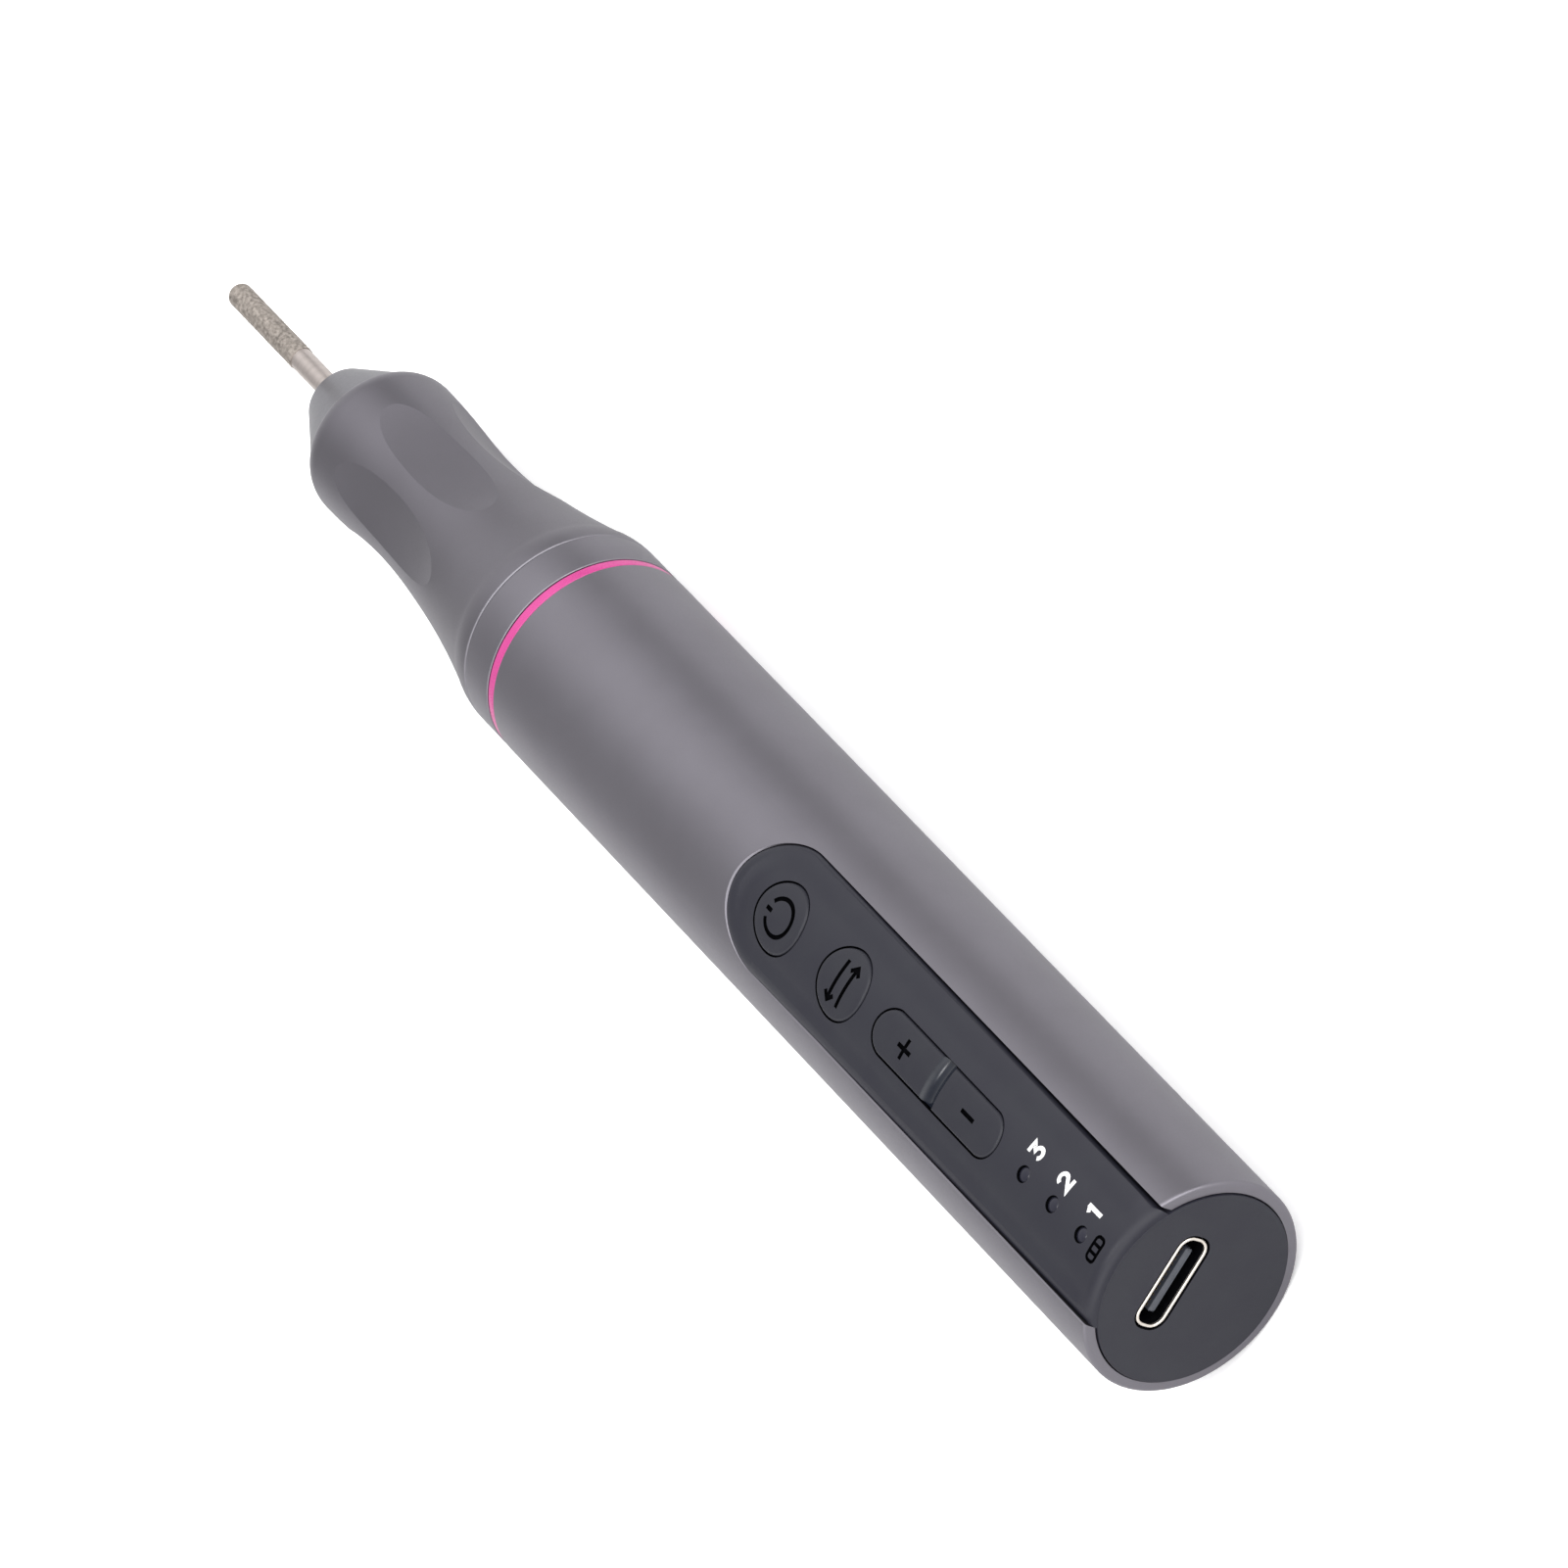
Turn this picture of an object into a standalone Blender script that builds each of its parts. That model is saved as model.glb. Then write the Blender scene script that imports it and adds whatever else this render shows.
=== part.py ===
"""Cordless engraving pen, built as separate sub-parts.

The pen lies on its side: +X runs from the tail to the burr, +Z points out of
the control panel, and the origin is under the middle of the whole pen.
Sub-parts are drawn in the pen's own frame, whose X axis is the spindle axis
and whose zero is the tail face; an empty then sets that frame on the ground.
"""

import math

import bmesh
import bpy
from mathutils import Matrix, Vector

MM = 0.001

# Fits between pieces
SEAM_GAP = 0.15 * MM
FIT_GAP = 0.2 * MM
SEAT_GAP = 0.25 * MM
CLOSE_GAP = 0.1 * MM
CUT_OVERRUN = 1.0 * MM
MERGE_DISTANCE = 0.0005 * MM

# Number of sides and steps on round forms
FINE_SIDES = 44
KEY_SIDES = 28
INNER_SIDES = 20
SMALL_SIDES = 14
TINY_SIDES = 12
ROUND_END_STEPS = 10
FILLET_STEPS = 3
LEAD_STEPS = 10
SHARP_ANGLE = math.radians(32)

# Body tube
TUBE_RADIUS = 10.25 * MM
TUBE_WALL = 1.1 * MM
TUBE_RIM_ROUND = 0.7 * MM
TUBE_FRONT_CHAMFER = 0.12 * MM
CAP_PROUD = 0.2 * MM

# Control panel and tail cap, one moulding
PANEL_WIDTH = 11.5 * MM
PANEL_FRONT_MARGIN = 3.8 * MM
PANEL_RECESS = 0.35 * MM
PANEL_THICKNESS = 1.4 * MM
PANEL_TAIL_ROUND = 0.75 * MM
PANEL_LIP_THICKNESS = 0.6 * MM
PANEL_LIP_REACH = 1.2 * MM
CAP_WALL = 1.6 * MM
CAP_SKIRT_LENGTH = 5.0 * MM
CAP_SKIRT_THICKNESS = 1.05 * MM

# Charging socket
SOCKET_WIDTH = 8.94 * MM
SOCKET_HEIGHT = 3.26 * MM
SOCKET_LENGTH = 7.3 * MM
SOCKET_WALL = 0.34 * MM
SOCKET_BACK = 1.0 * MM
SOCKET_TO_BOARD = 0.17 * MM
SOCKET_TO_CRADLE = 1.4 * MM
TONGUE_WIDTH = 6.7 * MM
TONGUE_THICKNESS = 0.7 * MM
TONGUE_SETBACK = 0.9 * MM

# Round keys
KEY_HOLE_RADIUS = 3.3 * MM
KEY_PROUD = 0.12 * MM
KEY_TRAVEL = 0.3 * MM
KEY_LIP_REACH = 0.6 * MM
KEY_LIP_THICKNESS = 0.55 * MM
KEY_PLUNGER_RADIUS = 1.2 * MM
KEY_SPACING = 3.7 * MM

# Speed rocker
ROCKER_TO_LIGHTS = 4.04 * MM
ROCKER_TO_KEY = 2.2 * MM
ROCKER_LENGTH = 19.7 * MM
ROCKER_WIDTH = 4.6 * MM
ROCKER_TILT = math.radians(2)
ROCKER_HUB_LENGTH = 2.6 * MM
ROCKER_HUB_DEPTH = 0.9 * MM
ROCKER_PLUNGER_OFFSET = 6.5 * MM
ROCKER_VALLEY_WIDTH = 1.7 * MM
ROCKER_VALLEY_DEPTH = 0.45 * MM
ROCKER_VALLEY_FLOOR_SHARE = 0.4
PIVOT_OVER_BOARD = 1.1 * MM
PIVOT_RADIUS = 0.4 * MM
LUG_THICKNESS = 1.0 * MM
LUG_LENGTH = 2.4 * MM

# Indicator lights
LIGHT_STATION = 4.6 * MM
LIGHT_PITCH = 4.53 * MM
LIGHT_COUNT = 3
LIGHT_HOLE_RADIUS = 0.75 * MM
LIGHT_SETBACK = 0.06 * MM
LIGHT_BAR_WIDTH = 2.2 * MM
LIGHT_BAR_THICKNESS = 0.6 * MM
LIGHT_BAR_MARGIN = 1.2 * MM
LED_LENGTH = 1.6 * MM
LED_WIDTH = 0.8 * MM
LED_HEIGHT = 0.4 * MM

# Control board and what is soldered on it
BOARD_UNDER_PANEL = 4.0 * MM
BOARD_THICKNESS = 0.8 * MM
BOARD_EDGE_GAP = 0.46 * MM
SWITCH_SIDE = 3.0 * MM
SWITCH_HEIGHT = 0.45 * MM
SWITCH_STEM_RADIUS = 0.8 * MM
SWITCH_STEM_HEIGHT = 0.15 * MM
CHIP_WIDTH = 2.5 * MM
CHIP_HEIGHT = 0.8 * MM
BOARD_SCREW_RADIUS = 0.7 * MM
BOARD_SCREW_HEAD_RADIUS = 1.1 * MM
BOARD_SCREW_HEAD_HEIGHT = 0.6 * MM
BOARD_SCREW_LENGTH = 3.4 * MM
BOARD_SCREW_TO_END = 1.6 * MM

# Battery and the cradle that carries it
CELL_HEADROOM = 0.4 * MM
CELL_STUD_RADIUS = 2.2 * MM
CELL_STUD_HEIGHT = 0.5 * MM
CELL_END_ROUND = 0.5 * MM
TAB_THICKNESS = 0.25 * MM
TAB_WIDTH = 4.0 * MM
CRADLE_BULKHEAD = 1.2 * MM
CRADLE_TOP_WRAP = 2.3 * MM
CRADLE_UNDER_WRAP = 1.7 * MM
CRADLE_WINDOWS = 3
CRADLE_POST_WIDTH = 5.3 * MM
CRADLE_WINDOW_HEIGHT = 4.0 * MM
CRADLE_SHELF_LENGTH = 7.8 * MM
CRADLE_SHELF_WIDTH = 5.0 * MM
CRADLE_SHELF_DEPTH = 3.6 * MM

# Motor
MOTOR_LENGTH = 25.0 * MM
MOTOR_TO_PANEL = 2.7 * MM
MOTOR_TO_TUBE_END = 10.2 * MM
MOTOR_CAN_WALL = 0.6 * MM
MOTOR_BOSS_RADIUS = 3.0 * MM
MOTOR_BOSS_HEIGHT = 1.5 * MM
MOTOR_SHAFT_RADIUS = 1.0 * MM
END_BELL_FLANGE = 1.9 * MM
END_BELL_PLUG = 1.2 * MM
TERMINAL_SPREAD = 4.5 * MM
TERMINAL_DROP = 2.2 * MM
TERMINAL_WIDTH = 1.6 * MM
TERMINAL_THICKNESS = 0.3 * MM
TERMINAL_LENGTH = 1.1 * MM
LEAD_RADIUS = 0.4 * MM
LEAD_INSET = 1.2 * MM
LEAD_SLACK = 0.9 * MM
DAMPER_LENGTH = 20.0 * MM
DAMPER_THICKNESS = 1.05 * MM
MAGNET_LENGTH = 18.0 * MM
MAGNET_THICKNESS = 1.0 * MM
MAGNET_HALF_ANGLE = math.radians(55)
ARMATURE_AIR_GAP = 0.45 * MM
ARMATURE_LENGTH = 14.0 * MM
ARMATURE_POLES = 3
POLE_RIM_SHARE = 0.84
POLE_NECK_SHARE = 0.3
POLE_CROWN_SHARE = 0.78
POLE_ROOT_SHARE = 0.42
COMMUTATOR_RADIUS = 2.2 * MM
COMMUTATOR_LENGTH = 2.6 * MM

# Accent ring and coupling collar
RING_WIDTH = 1.05 * MM
RING_SETBACK = 0.1 * MM
COLLAR_SETBACK = 0.03 * MM
COLLAR_LENGTH = 3.3 * MM
COLLAR_CHAMFER = 0.12 * MM
COLLAR_FRONT_STEP = 0.5 * MM
COLLAR_FRONT_WALL = 0.85 * MM
COLLAR_REAR_SPIGOT = 6.0 * MM
COLLAR_FRONT_SPIGOT = 4.0 * MM
GRIP_SEAM = 0.3 * MM

# Grip sleeve with its milled finger scallops
GRIP_LENGTH = 34.1 * MM
GRIP_SHOULDER_LENGTH = 2.6 * MM
GRIP_SHOULDER_DROP = 0.46 * MM
GRIP_FLARE_POWER = 1.84
GRIP_WAIST_RADIUS = 7.08 * MM
GRIP_WAIST_TO_FRONT = 12.25 * MM
GRIP_BULGE_RADIUS = 7.43 * MM
GRIP_BULGE_TO_FRONT = 2.0 * MM
GRIP_FRONT_RADIUS = 6.62 * MM
GRIP_FLARE_STEPS = 8
GRIP_SWELL_STEPS = 6
SCALLOP_COUNT = 6
SCALLOP_CUTTER_RADIUS = 38.8 * MM
SCALLOP_DEPTH = 0.5 * MM
SCALLOP_WIDTH = 6.4 * MM
SCALLOP_SETBACK = 0.6 * MM
SCALLOP_TURN = math.radians(-18.4)
SCALLOP_STEPS = 16

# Bearings and the seats in the grip
BEARING_BORE_RADIUS = 3.0 * MM
BEARING_OUTER_RADIUS = 5.0 * MM
BEARING_WIDTH = 3.0 * MM
BEARING_RACE_SHARE = 0.33
BEARING_SHIELD_THICKNESS = 0.35 * MM
BEARING_WASHER_THICKNESS = 0.4 * MM
RETAINER_LENGTH = 2.2 * MM
BEARING_SEAT_SHOULDER = 1.05 * MM
GRIP_FRONT_BORE_DEPTH = 3.35 * MM

# Spindle, coupling and collet
SPINDLE_TENON_RADIUS = 1.8 * MM
SPINDLE_TENON_LENGTH = 9.6 * MM
SPINDLE_SHOULDER = 0.5 * MM
SPINDLE_NOSE_TO_FRONT = 0.45 * MM
SPINDLE_BORE_DEPTH = 12.8 * MM
COUPLING_RADIUS = 3.4 * MM
COUPLING_LENGTH = 12.0 * MM
COUPLING_END_GAP = 0.65 * MM
SET_SCREW_RADIUS = 0.75 * MM
SET_SCREW_SPREAD = 6.1 * MM
COLLET_LENGTH = 13.2 * MM
COLLET_STEM_WALL = 0.525 * MM
COLLET_TIP_WALL = 0.625 * MM
COLLET_HEAD_STEP = 0.4 * MM
COLLET_HEAD_LENGTH = 3.6 * MM
COLLET_HEAD_BACK_SHARE = 0.56
COLLET_HEAD_LAND_SHARE = 0.64
COLLET_SLIT = 0.45 * MM
COLLET_SLIT_LENGTH = 9.5 * MM
COLLET_REACH = 1.4 * MM
NUT_WALL = 1.15 * MM
NUT_LENGTH = 4.9 * MM
NUT_LIP = 0.6 * MM
NUT_FLAT_SETBACK = 0.45 * MM
NUT_FLAT_LENGTH = 2.4 * MM

# Nose cone
NOSE_LENGTH = 6.8 * MM
NOSE_BASE_RADIUS = 6.62 * MM
NOSE_SLOPE = 0.512
NOSE_FRONT_ROUND = 1.24 * MM
NOSE_HOLE_RADIUS = 1.5 * MM
NOSE_HOLE_LENGTH = 1.4 * MM
NOSE_CAVITY_GAP = 0.5 * MM
NOSE_SPIGOT_WALL = 0.6 * MM
NOSE_CAVITY_DEPTH = 2.3 * MM

# Diamond burr
BURR_SHANK_RADIUS = 1.175 * MM
BURR_NECK_RADIUS = 0.99 * MM
BURR_HEAD_RADIUS = 1.22 * MM
BURR_HEAD_LENGTH = 12.0 * MM
BURR_TIP_ROUND = 0.75 * MM
BURR_SHOULDER = 0.45 * MM
BURR_REACH = 18.8 * MM
BURR_GRIPPED_LENGTH = 18.2 * MM
BURR_NECK_SETBACK = 2.0 * MM

# Radii that follow from the tube
TUBE_BORE_RADIUS = TUBE_RADIUS - TUBE_WALL
PLUG_RADIUS = TUBE_BORE_RADIUS - FIT_GAP
PANEL_RADIUS = TUBE_RADIUS - PANEL_RECESS
PANEL_INNER_RADIUS = PANEL_RADIUS - PANEL_THICKNESS
PANEL_HALF_WIDTH = PANEL_WIDTH / 2 - FIT_GAP
LIP_OUTER_RADIUS = TUBE_BORE_RADIUS - SEAT_GAP
LIP_INNER_RADIUS = LIP_OUTER_RADIUS - PANEL_LIP_THICKNESS
SKIRT_INNER_RADIUS = PLUG_RADIUS - CAP_SKIRT_THICKNESS
CROWN_RADIUS = PANEL_RADIUS + KEY_PROUD
MOTOR_RADIUS = PLUG_RADIUS - DAMPER_THICKNESS - FIT_GAP
MAGNET_RADIUS = MOTOR_RADIUS - MOTOR_CAN_WALL - SEAM_GAP
ARMATURE_RADIUS = MAGNET_RADIUS - MAGNET_THICKNESS - ARMATURE_AIR_GAP
COLLAR_RADIUS = TUBE_RADIUS - COLLAR_SETBACK
COLLAR_FRONT_SPIGOT_RADIUS = PLUG_RADIUS - COLLAR_FRONT_STEP
COLLAR_BORE_RADIUS = COLLAR_FRONT_SPIGOT_RADIUS - COLLAR_FRONT_WALL
GRIP_SHOULDER_RADIUS = COLLAR_RADIUS - GRIP_SHOULDER_DROP

# Radii that follow from the bearings and the burr's shank
BEARING_SEAT_RADIUS = BEARING_OUTER_RADIUS + SEAM_GAP
JOURNAL_RADIUS = BEARING_BORE_RADIUS - SEAM_GAP
RACE_DEPTH = (BEARING_OUTER_RADIUS - BEARING_BORE_RADIUS) * BEARING_RACE_SHARE
GRIP_CORE_RADIUS = BEARING_SEAT_RADIUS - BEARING_SEAT_SHOULDER
SPINDLE_WAIST_RADIUS = BEARING_BORE_RADIUS + SPINDLE_SHOULDER
COLLET_BORE_RADIUS = BURR_SHANK_RADIUS + SEAM_GAP
COLLET_STEM_RADIUS = COLLET_BORE_RADIUS + COLLET_STEM_WALL
COLLET_TIP_RADIUS = COLLET_BORE_RADIUS + COLLET_TIP_WALL
COLLET_HEAD_RADIUS = JOURNAL_RADIUS - COLLET_HEAD_STEP
SPINDLE_BORE_RADIUS = COLLET_STEM_RADIUS + SEAM_GAP
NUT_BORE_RADIUS = JOURNAL_RADIUS + FIT_GAP
NUT_RADIUS = NUT_BORE_RADIUS + NUT_WALL
NOSE_CAVITY_RADIUS = NUT_RADIUS + NOSE_CAVITY_GAP
NOSE_SPIGOT_RADIUS = NOSE_CAVITY_RADIUS + NOSE_SPIGOT_WALL
GRIP_FRONT_BORE_RADIUS = NOSE_SPIGOT_RADIUS + FIT_GAP

# Heights over the pen's axis
BOARD_UNDERSIDE = PANEL_INNER_RADIUS - BOARD_UNDER_PANEL
BOARD_TOP = BOARD_UNDERSIDE + BOARD_THICKNESS
PART_SEAT = BOARD_TOP + CLOSE_GAP
SWITCH_TOP = PART_SEAT + SWITCH_HEIGHT + SWITCH_STEM_HEIGHT
PIVOT_RISE = BOARD_TOP + PIVOT_OVER_BOARD
SOCKET_RISE = BOARD_UNDERSIDE - SOCKET_TO_BOARD - SOCKET_HEIGHT / 2
CRADLE_TOP = BOARD_UNDERSIDE - SEAT_GAP
CELL_RADIUS = (LIP_OUTER_RADIUS + BOARD_UNDERSIDE - CELL_HEADROOM) / 2
CELL_DROP = LIP_OUTER_RADIUS - CELL_RADIUS

# Outlines that keep a lip under the panel
KEY_LIP_RADIUS = KEY_HOLE_RADIUS + KEY_LIP_REACH
ROCKER_LIP_HALF_WIDTH = ROCKER_WIDTH / 2 + KEY_LIP_REACH
ROCKER_LIP_HALF_LENGTH = ROCKER_LENGTH / 2 + KEY_LIP_REACH

# Stations of the panel's contents, from the tail face
LAST_LIGHT_STATION = LIGHT_STATION + LIGHT_PITCH * (LIGHT_COUNT - 1)
ROCKER_STATION = LAST_LIGHT_STATION + ROCKER_TO_LIGHTS + ROCKER_LENGTH / 2
DIRECTION_KEY_STATION = ROCKER_STATION + ROCKER_LENGTH / 2 + ROCKER_TO_KEY + KEY_HOLE_RADIUS
POWER_KEY_STATION = DIRECTION_KEY_STATION + 2 * KEY_HOLE_RADIUS + KEY_SPACING
PANEL_LENGTH = POWER_KEY_STATION + KEY_HOLE_RADIUS + PANEL_FRONT_MARGIN
PANEL_FRONT = PANEL_LENGTH - FIT_GAP
BOARD_END = PANEL_LENGTH - CLOSE_GAP
BOARD_SCREW_STATION = BOARD_END - BOARD_SCREW_TO_END

# Stations of the battery and its cradle
CELL_ROOM = 2 * FIT_GAP + TAB_THICKNESS
CRADLE_START = SOCKET_LENGTH + SOCKET_TO_CRADLE
CRADLE_END = BOARD_END - CRADLE_SHELF_LENGTH
CELL_STATION = CRADLE_START + CRADLE_BULKHEAD + CELL_ROOM
CELL_END = CRADLE_END - CRADLE_BULKHEAD - CELL_ROOM
CELL_LENGTH = CELL_END - CELL_STATION

# Stations of the motor, the tube's end and the front pieces
MOTOR_STATION = PANEL_LENGTH + MOTOR_TO_PANEL
MOTOR_END = MOTOR_STATION + MOTOR_LENGTH
MOTOR_BOSS_END = MOTOR_END + MOTOR_BOSS_HEIGHT
TUBE_START = CAP_PROUD
TUBE_END = MOTOR_END + MOTOR_TO_TUBE_END
RING_START = TUBE_END + SEAM_GAP
RING_END = RING_START + RING_WIDTH
COLLAR_START = RING_END + SEAM_GAP
COLLAR_END = COLLAR_START + COLLAR_LENGTH
COLLAR_SPIGOT_END = COLLAR_END + COLLAR_FRONT_SPIGOT
GRIP_START = COLLAR_END + GRIP_SEAM
GRIP_END = GRIP_START + GRIP_LENGTH
WAIST_STATION = GRIP_END - GRIP_WAIST_TO_FRONT
BULGE_STATION = GRIP_END - GRIP_BULGE_TO_FRONT
NOSE_START = GRIP_END + SEAM_GAP
NOSE_END = NOSE_START + NOSE_LENGTH
BURR_TIP = NOSE_END + BURR_REACH
BURR_START = NOSE_END - BURR_GRIPPED_LENGTH
PEN_LENGTH = BURR_TIP

# Stations of the bearings and the spindle
REAR_SEAT_START = COLLAR_SPIGOT_END + SEAM_GAP
WASHER_START = REAR_SEAT_START + SEAM_GAP
REAR_BEARING_START = WASHER_START + BEARING_WASHER_THICKNESS + SEAM_GAP
REAR_SEAT_END = REAR_BEARING_START + BEARING_WIDTH + SEAM_GAP
FRONT_BORE_START = GRIP_END - GRIP_FRONT_BORE_DEPTH
RETAINER_START = FRONT_BORE_START - SEAT_GAP - RETAINER_LENGTH
FRONT_BEARING_START = RETAINER_START - FIT_GAP - BEARING_WIDTH
FRONT_SEAT_START = FRONT_BEARING_START - SEAM_GAP
SPINDLE_END = GRIP_END - SPINDLE_NOSE_TO_FRONT
SPINDLE_JOURNAL_START = REAR_BEARING_START - SEAM_GAP
SPINDLE_START = SPINDLE_JOURNAL_START - SPINDLE_TENON_LENGTH
MOTOR_SHAFT_END = SPINDLE_START - COUPLING_END_GAP
COUPLING_MIDDLE = SPINDLE_START - COUPLING_END_GAP / 2
COLLET_END = SPINDLE_END + COLLET_REACH
COLLET_START = COLLET_END - COLLET_LENGTH
COLLET_HEAD_START = COLLET_END - COLLET_HEAD_LENGTH

# The pen rests on the flat of the tube's lowest side
AXIS_HEIGHT = TUBE_RADIUS * math.cos(math.pi / FINE_SIDES)


def clear_scene():
    """Remove whatever the file holds already."""
    for item in list(bpy.data.objects):
        bpy.data.objects.remove(item, do_unlink=True)


def finish(name, colour, roughness, metallic=0.0):
    """A plain Principled material."""
    material = bpy.data.materials.new(name)
    material.use_nodes = True
    shader = material.node_tree.nodes["Principled BSDF"]
    shader.inputs["Base Color"].default_value = (*colour, 1.0)
    shader.inputs["Roughness"].default_value = roughness
    shader.inputs["Metallic"].default_value = metallic
    material.diffuse_color = (*colour, 1.0)
    return material


def make_finishes():
    """Colours and gloss of every sub-part."""
    return {
        "anodised": finish("anodised_grey", (0.21, 0.205, 0.225), 0.42, 0.8),
        "nose": finish("anodised_light_grey", (0.27, 0.27, 0.3), 0.38, 0.8),
        "panel": finish("panel_plastic", (0.055, 0.06, 0.07), 0.5),
        "key": finish("key_rubber", (0.06, 0.065, 0.075), 0.55),
        "accent": finish("accent_pink", (0.82, 0.08, 0.42), 0.25, 0.3),
        "steel": finish("bright_steel", (0.6, 0.58, 0.56), 0.25, 1.0),
        "grit": finish("diamond_plate", (0.46, 0.43, 0.39), 0.7, 0.5),
        "brass": finish("brass", (0.7, 0.52, 0.24), 0.3, 1.0),
        "copper": finish("copper", (0.72, 0.38, 0.24), 0.35, 1.0),
        "nickel": finish("nickel_strip", (0.62, 0.62, 0.58), 0.35, 1.0),
        "zinc": finish("zinc_plate", (0.5, 0.51, 0.53), 0.4, 1.0),
        "ferrite": finish("ferrite", (0.06, 0.06, 0.065), 0.7),
        "board": finish("board_green", (0.03, 0.2, 0.1), 0.45),
        "chip": finish("chip_black", (0.02, 0.02, 0.02), 0.4),
        "clear": finish("clear_light_pipe", (0.75, 0.77, 0.8), 0.15),
        "wrap": finish("cell_wrap_blue", (0.06, 0.16, 0.5), 0.4),
        "nylon": finish("white_nylon", (0.72, 0.72, 0.7), 0.5),
        "cradle": finish("cradle_plastic", (0.08, 0.08, 0.085), 0.55),
        "rubber": finish("damper_rubber", (0.03, 0.03, 0.03), 0.8),
        "red": finish("lead_red", (0.55, 0.03, 0.03), 0.45),
        "black": finish("lead_black", (0.02, 0.02, 0.02), 0.45),
        "white": finish("led_white", (0.85, 0.85, 0.8), 0.3),
    }


def add_empty(name, location, parent=None):
    """A frame that carries sub-parts."""
    empty = bpy.data.objects.new(name, None)
    empty.location = location
    empty.parent = parent
    empty.empty_display_size = TUBE_RADIUS
    bpy.context.collection.objects.link(empty)
    return empty


def add_object(name, bm, material=None, parent=None, origin=(0, 0, 0)):
    """Close a mesh, face it outward and hang it in the pen's frame.

    The mesh keeps its place and the object's own origin goes to `origin`.
    """
    bmesh.ops.recalc_face_normals(bm, faces=bm.faces)
    bmesh.ops.translate(bm, verts=bm.verts, vec=-Vector(origin))
    mesh = bpy.data.meshes.new(name)
    bm.to_mesh(mesh)
    bm.free()
    mesh.shade_smooth()
    mesh.set_sharp_from_angle(angle=SHARP_ANGLE)
    item = bpy.data.objects.new(name, mesh)
    item.location = origin
    item.parent = parent
    if material:
        mesh.materials.append(material)
    bpy.context.collection.objects.link(item)
    return item


def arc(centre, radius, start, end, steps):
    """Points on an arc in the (along, out) plane, from one angle to another."""
    points = []
    for step in range(steps + 1):
        angle = start + (end - start) * step / steps
        along = centre[0] + radius * math.cos(angle)
        out = centre[1] + radius * math.sin(angle)
        points.append((along, out))
    return points


def turned(outline, sides):
    """Turn an (along, radius) outline round the pen's axis, a flat side down."""
    bm = bmesh.new()
    start = Matrix.Rotation(math.pi / sides, 3, "X")
    verts = [bm.verts.new(start @ Vector((along, 0, radius))) for along, radius in outline]
    pairs = list(zip(verts, verts[1:]))
    if outline[0][1] > 0:
        pairs.append((verts[-1], verts[0]))
    edges = [bm.edges.new(pair) for pair in pairs]
    bmesh.ops.spin(
        bm, geom=verts + edges, cent=(0, 0, 0), axis=(1, 0, 0), angle=math.tau, steps=sides, use_merge=True
    )
    bmesh.ops.remove_doubles(bm, verts=bm.verts, dist=MERGE_DISTANCE)
    return bm


def tube(rear, front, inner, outer):
    """Outline of a plain ring, for turning."""
    return [(rear, inner), (rear, outer), (front, outer), (front, inner)]


def prism(outline, low, high, frame):
    """Extrude a flat outline; `frame` carries its X, Y, Z to the pen's axes."""
    bm = bmesh.new()
    base = [bm.verts.new((first, second, low)) for first, second in outline]
    face = bm.faces.new(base)
    lifted = bmesh.ops.extrude_face_region(bm, geom=[face])["geom"]
    moved = [item for item in lifted if isinstance(item, bmesh.types.BMVert)]
    bmesh.ops.translate(bm, verts=moved, vec=(0, 0, high - low))
    bmesh.ops.transform(bm, matrix=frame, verts=bm.verts)
    return bm


def upright(outline, low, high):
    """Prism of an (along, across) outline between two heights."""
    return prism(outline, low, high, Matrix.Identity(4))


def lengthwise(outline, rear, front):
    """Prism of an (across, height) outline between two stations."""
    frame = Matrix(((0, 0, 1, 0), (1, 0, 0, 0), (0, 1, 0, 0), (0, 0, 0, 1)))
    return prism(outline, rear, front, frame)


def crosswise(outline, left, right):
    """Prism of an (along, height) outline, drawn across the pen."""
    frame = Matrix(((1, 0, 0, 0), (0, 0, 1, 0), (0, 1, 0, 0), (0, 0, 0, 1)))
    return prism(outline, left, right, frame)


def block(rear, front, half_width, low, high, across=0.0):
    """A rectangular block; `across` moves it off the pen's middle plane."""
    outline = [
        (rear, across - half_width),
        (front, across - half_width),
        (front, across + half_width),
        (rear, across + half_width),
    ]
    return upright(outline, low, high)


def stadium(middle, half_length, half_width):
    """Outline with two straight sides and two round ends."""
    reach = half_length - half_width
    front = arc((middle + reach, 0), half_width, -math.pi / 2, math.pi / 2, ROUND_END_STEPS)
    rear = arc((middle - reach, 0), half_width, math.pi / 2, 3 * math.pi / 2, ROUND_END_STEPS)
    return front + rear


def tongue(rear, front, half_width):
    """Outline with a square rear end and a round front end."""
    round_end = arc((front - half_width, 0), half_width, -math.pi / 2, math.pi / 2, ROUND_END_STEPS)
    return [(rear, -half_width)] + round_end + [(rear, half_width)]


def stood_up(bm, station):
    """Stand a turned form on its end at a station of the pen."""
    stand = Matrix.Translation((station, 0, 0)) @ Matrix.Rotation(-math.pi / 2, 4, "Y")
    bmesh.ops.transform(bm, matrix=stand, verts=bm.verts)
    return bm


def laid_across(bm, station, height):
    """Lay a turned form across the pen."""
    lay = Matrix.Translation((station, 0, height)) @ Matrix.Rotation(math.pi / 2, 4, "Z")
    bmesh.ops.transform(bm, matrix=lay, verts=bm.verts)
    return bm


def rod(low, high, radius, sides):
    """A solid turned rod."""
    return turned([(low, 0), (low, radius), (high, radius), (high, 0)], sides)


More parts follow.
